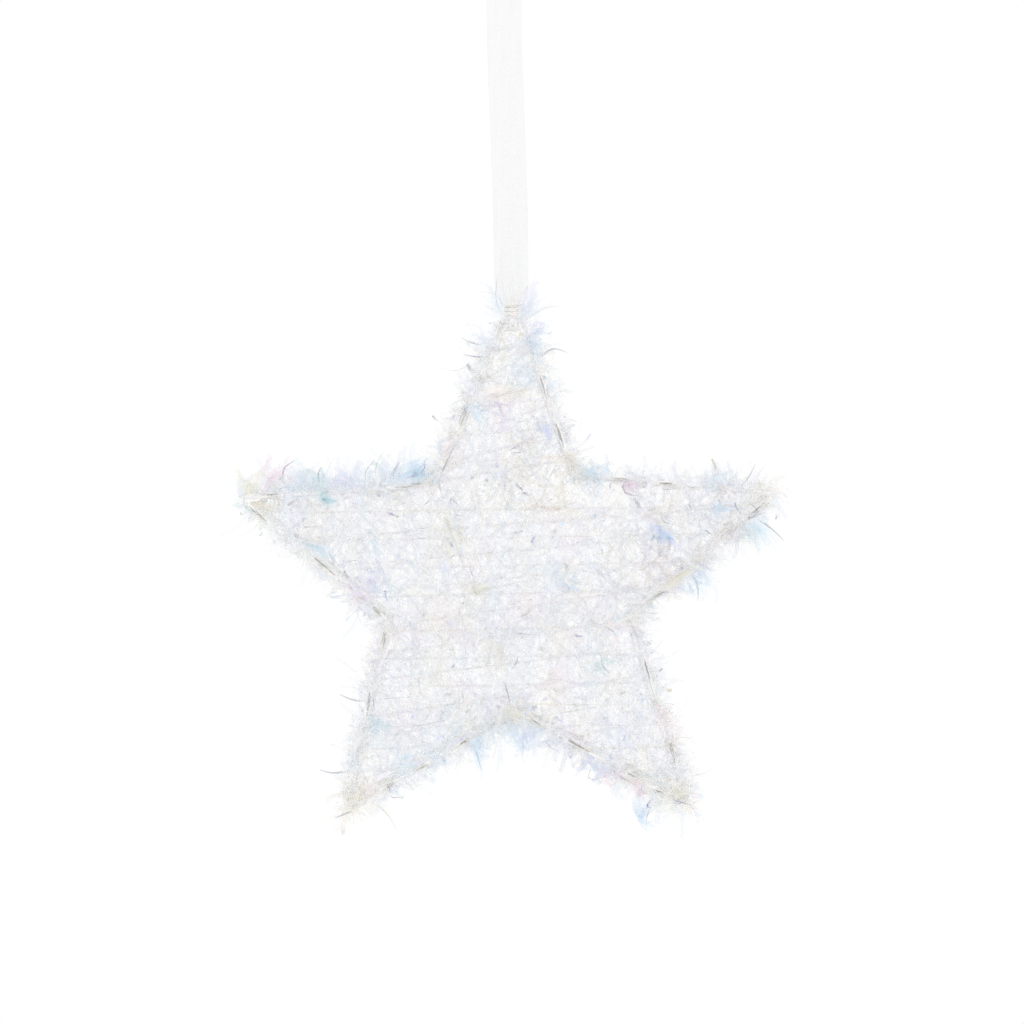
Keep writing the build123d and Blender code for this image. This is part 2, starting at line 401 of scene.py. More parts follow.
@dataclass(frozen=True)
class SheerOrganza:
    """Sheer white organza: fine crossed threads with open pores, and denser selvedges."""

    colour: Colour = (0.955, 0.955, 0.958)
    shaded: Colour = (0.90, 0.90, 0.90)
    thread_pitch: float = 0.00042
    cover: float = 0.36
    selvedge_cover: float = 0.22
    blotch_scale: float = 900.0
    speck_scale: float = 2600.0
    thread_depth: float = 0.00005

    def material(self) -> bpy.types.Material:
        """Lays the weave along the cloth's own flat places.

        Returns:
            The material.
        """
        material, canvas = new_material("sheer_organza", sheer=True)
        flat = canvas.stored("cloth_place", "Vector")
        across, along, edge = canvas.parts(flat)
        turns = FULL_TURN / self.thread_pitch
        weft = (along * turns).sine()
        warp = (across * turns).sine()
        weave = 0.5 + 0.25 * (weft + warp)
        blotches = canvas.noise(flat, self.blotch_scale, 3.0, 0.65)
        specks = canvas.noise(flat, self.speck_scale, 2.0, 0.7)
        cover = self.cover * (0.55 + 0.5 * weave + 0.5 * blotches - 0.1) + self.selvedge_cover * edge
        canvas.surface({
            "Base Color": canvas.mixed(specks, opaque(self.colour), opaque(self.shaded)),
            "Roughness": 0.45 + 0.2 * specks,
            "Alpha": cover,
            "Sheen Weight": 0.25,
            "Sheen Roughness": 0.4,
            "Normal": canvas.bumped(weave, 0.3, self.thread_depth),
        })
        return material


@dataclass(frozen=True)
class TieFilm:
    """The tie's twisted film: olive-cream above, peach and rose below."""

    upper: Colour = (0.955, 0.95, 0.905)
    lower: Colour = (0.99, 0.96, 0.955)
    change_height: float = -0.1013
    change_reach: float = 0.0012
    mottle_scale: float = 1500.0
    mottle_depth: float = 0.00008

    def material(self) -> bpy.types.Material:
        """Changes the colour with height and mottles it.

        Returns:
            The material.
        """
        material, canvas = new_material("tie_film")
        place = canvas.spots()
        _, _, height = canvas.parts(place)
        mottle = canvas.noise(place, self.mottle_scale, 3.0, 0.6)
        share = (height - self.change_height) * (0.5 / self.change_reach) + 0.5 + 0.5 * (mottle - 0.5)
        canvas.surface({
            "Base Color": canvas.ramp(share, [(0.0, linear(self.lower)), (1.0, linear(self.upper))]),
            "Roughness": 0.3 + 0.3 * mottle,
            "Normal": canvas.bumped(mottle, 0.4, self.mottle_depth),
        })
        return material


@dataclass(frozen=True)
class BandRows:
    """The rows of one band of the winding, as shares of the tip radius.

    Attributes:
        first: the height of the first row's left end over the star's centre.
        rise: how much higher a row's right end lies.
        fall: how far down the next row lies.
        count: how many rows there are.
        left_edge: the edge that carries the left ends.
        right_edge: the edge that carries the right ends.
    """

    first: float
    rise: float
    fall: float
    count: int
    left_edge: Edge
    right_edge: Edge


class Band(Enum):
    """The bands of the winding, from the top down."""

    TOP_ARM = BandRows(
        0.831, 0.03, 0.1, 5, ("top_left", "upper_left_notch"), ("top_right", "upper_right_notch"))
    SIDE_ARMS = BandRows(
        0.255, 0.03, 0.1, 4, ("left_tip", "lower_left_notch"), ("right_tip", "lower_right_notch"))
    WAIST = BandRows(
        -0.165, 0.02, 0.1, 3,
        ("lower_left_notch", "lower_left_tip"), ("lower_right_notch", "lower_right_tip"))
    LEFT_LEG = BandRows(
        -0.505, 0.01, 0.08, 4, ("lower_left_notch", "lower_left_tip"), ("bottom_notch", "lower_left_tip"))
    RIGHT_LEG = BandRows(
        -0.505, 0.01, 0.08, 4, ("bottom_notch", "lower_right_tip"), ("lower_right_notch", "lower_right_tip"))

    @property
    def label(self) -> str:
        """The band's name as the frame's nodes spell it."""
        return self.name.lower()


@dataclass(frozen=True)
class Run:
    """A straight stretch that carries film strips.

    Attributes:
        outward: the way out of the star, square to the run.
        wide: whether the next run up or down is far away.
    """

    start: Array
    end: Array
    outward: Array
    wide: bool = False

    @property
    def length(self) -> float:
        """The run's length."""
        return float(np.linalg.norm(self.end - self.start))

    @property
    def over_face(self) -> bool:
        """Whether it crosses the front or rear face, and not an edge."""
        return abs(self.outward[1]) > 0.5


@dataclass(frozen=True)
class StarPlan:
    """The wire star's corners and the route of its winding. Shares are of the tip radius.

    Attributes:
        half_depth: from the middle plane to each outline's wire.
        hug_radius: from a wire's middle to the middle of a thread that hugs it.
        core_layer: how deep the rows lie, front and rear.
        lead_layer: how deep the short garland lies where it crosses over the rows.
        core_tail_length: how far each garland's end runs past the middle plane.
        lead_start_depth: how far back from the middle plane the short garland starts.
        lead_end_shares: where it leaves the body for the right leg, from the star's centre.
        lead_turn_share: the height where it first turns round the right leg's edge.
        hug_reach: how far before and after a corner a thread still runs straight.
        shares: the other corners from the star's centre, across and up.
    """

    tip_radius: float = 0.080
    half_depth: float = 0.010
    wire_radius: float = 0.0006
    top_height: float = -0.105
    top_height_share: float = 0.94
    top_flat_width: float = 0.005
    notch_bend_radius: float = 0.0025
    hug_radius: float = 0.00135
    core_radius: float = 0.00045
    core_layer: float = 0.01135
    lead_layer: float = 0.01325
    core_tail_length: float = 0.005
    lead_start_depth: float = -0.00425
    lead_end_shares: tuple[float, float] = (0.02, -0.42)
    lead_turn_share: float = -0.43
    hug_reach: float = 0.003
    shares: dict[str, tuple[float, float]] = field(default_factory=lambda: {
        "upper_right_notch": (0.218, 0.389),
        "right_tip": (0.945, 0.329),
        "lower_right_notch": (0.418, -0.118),
        "lower_right_tip": (0.631, -0.793),
        "bottom_notch": (0.011, -0.454),
        "lower_left_tip": (-0.602, -0.806),
        "lower_left_notch": (-0.446, -0.125),
        "left_tip": (-0.974, 0.31),
        "upper_left_notch": (-0.282, 0.36),
    })

    @property
    def centre_height(self) -> float:
        """The height of the star's centre."""
        return self.top_height - self.top_height_share * self.tip_radius

    def spot(self, across: float, up: float, depth: float = 0.0) -> Array:
        """A place given by its distances from the star's centre and the middle plane."""
        return np.array([across, depth, self.centre_height + up])

    def corners(self) -> dict[str, Array]:
        """Every corner of the outline, clockwise from the top.

        Returns:
            The corners by name, in the middle plane.
        """
        half = self.top_flat_width / 2
        found = {"top_right": np.array([half, 0.0, self.top_height])}
        for name, (across, up) in self.shares.items():
            found[name] = self.spot(across * self.tip_radius, up * self.tip_radius)
        found["top_left"] = np.array([-half, 0.0, self.top_height])
        return found

    def sides(self) -> list[tuple[Array, Array]]:
        """The two ends of each straight side of the outline, in order."""
        corners = list(self.corners().values())
        return list(zip(corners, [*corners[1:], corners[0]]))

    def ends(self, edge: Edge, depth: float = 0.0) -> tuple[Array, Array]:
        """The two corners of an edge, at a depth."""
        corners = self.corners()
        return at_depth(corners[edge[0]], depth), at_depth(corners[edge[1]], depth)

    def inside(self, places: Array) -> Array:
        """Whether each place lies inside the outline, seen from the front.

        Args:
            places: the places.

        Returns:
            One truth value for each.
        """
        across, height = places[:, 0], places[:, 2]
        found = np.zeros(len(places), bool)
        for start, end in self.sides():
            beside = (start[2] > height) != (end[2] > height)
            rise = end[2] - start[2] or 1.0
            found ^= beside & (across < start[0] + (end[0] - start[0]) * (height - start[2]) / rise)
        return found

    def square(self, edge: Edge, side: int) -> Array:
        """The way out of the star square to an edge, to the left (-1) or right (1)."""
        start, end = self.ends(edge)
        along = unit(end - start)
        return np.array([-along[2], 0.0, along[0]]) * side

    def beside(self, edge: Edge, height: float, side: int) -> Array:
        """The place beside an edge where a hugging thread lies.

        Args:
            edge: the corners at the edge's ends.
            height: the place's height.
            side: -1 for the left of the edge and 1 for the right.

        Returns:
            The place, in the middle plane.
        """
        start, end = self.ends(edge)
        along = end - start
        share = (height - start[2]) / along[2]
        outward = side * self.hug_radius * np.linalg.norm(along) / abs(along[2])
        return np.array([start[0] + share * along[0] + outward, 0.0, height])

    def rows(self, band: Band) -> list[tuple[Array, Array]]:
        """The rows of a band.

        Args:
            band: the band.

        Returns:
            The left and right end of each row, in the middle plane.
        """
        plan, found = band.value, []
        for index in range(plan.count):
            left_height = self.centre_height + (plan.first - index * plan.fall) * self.tip_radius
            right_height = left_height + plan.rise * self.tip_radius
            found.append((
                self.beside(plan.left_edge, left_height, -1),
                self.beside(plan.right_edge, right_height, 1),
            ))
        return found

    def wound(self, rows: list[tuple[Array, Array]]) -> list[Array]:
        """The corners of a winding, across the front to the right and the rear to the left.

        Args:
            rows: the two ends of each of its rows.

        Returns:
            The corners in order.
        """
        places = []
        for left, right in rows:
            places += [at_depth(left, self.core_layer), at_depth(left, -self.core_layer)]
            places += [at_depth(right, -self.core_layer), at_depth(right, self.core_layer)]
        return places

    def long_route(self) -> list[Array]:
        """The route of the long garland, from the top arm to the left leg's tip.

        Returns:
            Its corners in order.
        """
        rows = [row for band in Band if band is not Band.RIGHT_LEG for row in self.rows(band)]
        places = self.wound(rows)
        places[0] = at_depth(rows[0][0], self.core_tail_length)
        places[-1] = at_depth(rows[-1][1], self.core_tail_length)
        return places

    def short_route(self) -> list[Array]:
        """The route of the short garland, over the front and down the right leg.

        Returns:
            Its corners in order.
        """
        corners = self.corners()
        notch = corners["upper_left_notch"]
        before = unit(corners["left_tip"] - notch)
        after = unit(corners["top_left"] - notch)
        inward = unit(before + after)
        half_angle = math.acos(float(np.clip(before @ after, -1, 1))) / 2
        middle = notch + inward * self.notch_bend_radius * (1 / math.sin(half_angle) - 1)
        start = middle + inward * self.hug_radius
        turn_height = self.centre_height + self.lead_turn_share * self.tip_radius
        turn = self.beside(Band.RIGHT_LEG.value.right_edge, turn_height, 1)
        rows = self.rows(Band.RIGHT_LEG)
        places = [
            at_depth(start, self.lead_start_depth),
            at_depth(start, -self.lead_layer),
            self.spot(*(share * self.tip_radius for share in self.lead_end_shares), -self.lead_layer),
            at_depth(turn, -self.core_layer),
            at_depth(turn, self.core_layer),
            *self.wound(rows),
        ]
        places[-1] = at_depth(rows[-1][1], self.core_tail_length)
        return places

    def runs(self, band: Band) -> list[Run]:
        """The straight stretches of a band's winding.

        Args:
            band: the band.

        Returns:
            The stretches, over the faces and round the edges.
        """
        plan, rows, layer = band.value, self.rows(band), self.core_layer
        front, rear = np.array([0, FRONT, 0]), np.array([0, REAR, 0])
        following = {Band.TOP_ARM: Band.SIDE_ARMS, Band.SIDE_ARMS: Band.WAIST, Band.WAIST: Band.LEFT_LEG}
        starts = [row[0] for row in rows[1:]]
        if band in following:
            starts.append(self.rows(following[band])[0][0])
        found = []
        for index, (left, right) in enumerate(rows):
            wide = index in (0, len(rows) - 1)
            found.append(Run(at_depth(left, -layer), at_depth(right, -layer), front, wide))
            if index < len(starts):
                found.append(Run(at_depth(right, layer), at_depth(starts[index], layer), rear, wide))
            for place, edge, side in ((left, plan.left_edge, -1), (right, plan.right_edge, 1)):
                found.append(Run(at_depth(place, layer), at_depth(place, -layer), self.square(edge, side)))
        return found


def hugging(places: list[Array], reach: float) -> list[Array]:
    """Control points that pull a smooth line tight round each corner.

    Args:
        places: the route's corners.
        reach: how far before and after a corner the line still runs straight.

    Returns:
        The corners, each with a point before and after it on its runs.
    """
    found = [places[0]]
    for before, corner, after in zip(places, places[1:], places[2:]):
        found += [corner + unit(before - corner) * reach, corner, corner + unit(after - corner) * reach]
    return [*found, places[-1]]


def smooth_line(places: list[Array], step: float) -> Array:
    """Evenly spaced points on the smooth line of some control points.

    Args:
        places: the control points.
        step: the distance from point to point.

    Returns:
        The points, one a row.
    """
    curve = bpy.data.curves.new("route", "CURVE")
    curve.dimensions, curve.resolution_u = "3D", 8
    spline = curve.splines.new("NURBS")
    spline.points.add(len(places) - 1)
    for point, place in zip(spline.points, places):
        point.co = (*place, 1.0)
    spline.order_u = 3
    spline.use_endpoint_u = True
    carrier = bpy.data.objects.new("route", curve)
    mesh = bpy.data.meshes.new_from_object(carrier)
    points = np.empty(len(mesh.vertices) * 3)
    mesh.vertices.foreach_get("co", points)
    points = points.reshape(-1, 3)
    bpy.data.objects.remove(carrier)
    bpy.data.curves.remove(curve)
    bpy.data.meshes.remove(mesh)
    travelled = distances(points)
    kept = np.diff(travelled, prepend=-1) > 1e-7
    points, travelled = points[kept], travelled[kept]
    wanted = np.linspace(0, travelled[-1], max(2, round(travelled[-1] / step)))
    return np.stack([np.interp(wanted, travelled, points[:, axis]) for axis in range(3)], 1)


def carried_frames(points: Array) -> tuple[Array, Array]:
    """Two sideways directions at each point of a line, carried along without turning.

    Args:
        points: the line's points.

    Returns:
        The two directions, one pair a row, square to the line and to each other.
    """
    along = unit(np.gradient(points, axis=0))
    unlike_any_run = (0.3, 0.2, 1.0)
    side = np.cross(along[0], unlike_any_run)
    sides = np.empty_like(points)
    for index, direction in enumerate(along):
        side = side - (side @ direction) * direction
        side = side / np.linalg.norm(side)
        sides[index] = side
    return sides, np.cross(along, sides)


def new_piece(name: str, points: Array, faces: Array, smooth: bool = True) -> bpy.types.Object:
    """A mesh object at the origin.

    Args:
        name: the piece's name.
        points: its vertices, in rows of three numbers.
        faces: its four-sided faces, as rows of vertex numbers.
        smooth: whether it is shaded smooth.

    Returns:
        The linked object.
    """
    mesh = bpy.data.meshes.new(name)
    mesh.from_pydata(points.reshape(-1, 3).tolist(), [], faces.tolist())
    mesh.polygons.foreach_set("use_smooth", [smooth] * len(mesh.polygons))
    mesh.update()
    piece = bpy.data.objects.new(name, mesh)
    bpy.context.scene.collection.objects.link(piece)
    return piece


def keep_values(piece: bpy.types.Object, name: str, kind: str, values: Array) -> None:
    """Stores a value for each vertex under a name.

    Args:
        piece: the piece.
        name: the name that its material reads.
        kind: FLOAT, FLOAT_VECTOR or FLOAT_COLOR.
        values: the values, one vertex after another.
    """
    field_name = {"FLOAT": "value", "FLOAT_VECTOR": "vector", "FLOAT_COLOR": "color"}[kind]
    if kind == "FLOAT_COLOR":
        values = np.concatenate([values, np.ones((*values.shape[:-1], 1))], -1)
    attribute = piece.data.attributes.new(name, kind, "POINT")
    attribute.data.foreach_set(field_name, values.astype(np.float32).ravel())


def keep_map(piece: bpy.types.Object, places: Array) -> None:
    """Gives the piece a flat map, so that its colours can be stored.

    Args:
        piece: the piece.
        places: each vertex's place on the map, from 0 to 1.
    """
    layer = piece.data.uv_layers.new(name="OFBake", do_init=False)
    corners = np.empty(len(piece.data.loops), np.int32)
    piece.data.loops.foreach_get("vertex_index", corners)
    layer.uv.foreach_set("vector", places.reshape(-1, 2)[corners].astype(np.float32).ravel())


def grid_faces(rows: int, columns: int, closed: bool = False) -> Array:
    """The faces of a grid of vertices.

    Args:
        rows: how many rows of vertices.
        columns: how many vertices in a row.
        closed: whether each row joins its ends.

    Returns:
        The faces, as rows of vertex numbers.
    """
    row = np.arange(rows - 1)[:, None] * columns
    column = np.arange(columns if closed else columns - 1)[None, :]
    after = (column + 1) % columns
    corners = [row + column, row + after, row + columns + after, row + columns + column]
    return np.stack(corners, -1).reshape(-1, 4)


def twisted_plies(
    line: Array, ply_radius: float, pitch: float, sides: int, plies: int = 2,
) -> tuple[Array, Array]:
    """The plies of a twisted thread along a line.

    Args:
        line: the thread's middle line.
        ply_radius: the radius of each ply.
        pitch: the length of one turn.
        sides: how many sides a ply's round has.
        plies: how many plies there are.

    Returns:
        The vertices and the faces.
    """
    thinnest, pressed = 0.15, 0.95
    first, second = carried_frames(line)
    travelled = distances(line)
    taper = np.clip(np.minimum(travelled, travelled[-1] - travelled) / (2 * ply_radius), thinnest, 1)
    around = FULL_TURN * np.arange(sides) / sides
    ring = (
        first[:, None] * np.cos(around)[None, :, None] + second[:, None] * np.sin(around)[None, :, None]
    ) * (ply_radius * taper)[:, None, None]
    points, faces = [], []
    for ply in range(plies):
        turn = FULL_TURN * (travelled / pitch + ply / plies)
        out = first * np.cos(turn)[:, None] + second * np.sin(turn)[:, None]
        middle = line + out * ply_radius * pressed
        faces.append(grid_faces(len(line), sides, True) + len(points) * len(line) * sides)
        points.append((middle[:, None] + ring).reshape(-1, 3))
    return np.concatenate(points), np.concatenate(faces)


@dataclass
class GarlandCores:
    """The two twisted threads that carry the film. Their pitch is the length of one turn."""

    plan: StarPlan
    ply_radius: float = 0.00017
    pitch: float = 0.0028
    rings_a_turn: int = 8
    sides: int = 5

    def build(self, long_finish: CoreThread, short_finish: CoreThread) -> None:
        """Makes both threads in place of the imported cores.

        Args:
            long_finish: the long thread's finish.
            short_finish: the short thread's finish.
        """
        for name, places, finish in (
            ("long", self.plan.long_route(), long_finish), ("short", self.plan.short_route(), short_finish),
        ):
            line = smooth_line(hugging(places, self.plan.hug_reach), self.pitch / self.rings_a_turn)
            plies = twisted_plies(line, self.ply_radius, self.pitch, self.sides)
            piece = new_piece(f"{name}_garland_thread", *plies)
            piece.data.materials.append(finish.material())
            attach(piece, "star")
            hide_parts(f"{name}_garland_core")
            log.info("%s garland thread: %d points on its line", name, len(line))


@dataclass(frozen=True)
class StripCut:
    """How film strips are cut and curled.

    Attributes:
        length: the least and greatest length.
        width: the least and greatest width.
        curl: the greatest bend from root to end, in radians.
        twist: the greatest turn about its own length, in radians.
        taper: how much of the width the end loses.
        facing: how strongly the flat of a strip turns to the front or rear.
    """

    length: tuple[float, float]
    width: tuple[float, float]
    curl: float = 1.3
    twist: float = 2.6
    taper: float = 0.3
    facing: float = 0.0


@dataclass(frozen=True)
class StrayCut:
    """How one kind of stray strip is cut and turned.

    Attributes:
        cover: how much it covers what lies behind it.
        turned: how far it is turned edge on at its root and end, in radians.
        count: how many strips lie together.
        spread: how far they spread.
    """

    width: float
    cover: float
    turned: tuple[float, float]
    count: int = 1
    spread: float = 0.0


class Stray(Enum):
    """The kinds of stray strip."""

    HAIR = StrayCut(0.00036, 0.50, (0.4, 1.1))
    CURL = StrayCut(0.00070, 0.48, (0.5, 1.0))
    FLAKE = StrayCut(0.00165, 0.36, (-0.5, 0.6), 12, 0.0007)
    HAZE = StrayCut(0.00175, 0.20, (-0.6, 0.7), 17, 0.0012)


HAIR, CURL, FLAKE, HAZE = Stray


@dataclass(frozen=True)
class Strand:
    """One stray strip, or a few together, from near its root to its end.

    Attributes:
        places: across and up from the star's centre, in millimetres.
    """

    kind: Stray
    tint: Tint
    places: tuple[tuple[float, float], ...]

    @property
    def band(self) -> Band:
        """The band whose film it belongs to, by its first place."""
        across, up = self.places[0]
        for band, lowest in ((Band.TOP_ARM, 37), (Band.SIDE_ARMS, -6), (Band.WAIST, -34)):
            if up > lowest:
                return band
        return Band.LEFT_LEG if across < 0 else Band.RIGHT_LEG


@dataclass(frozen=True)
class Wash:
    """A wider place on the front, in millimetres from the star's centre, where one tint is common."""

    across: float
    up: float
    reach: float
    tint: Tint
    share: float = 0.5
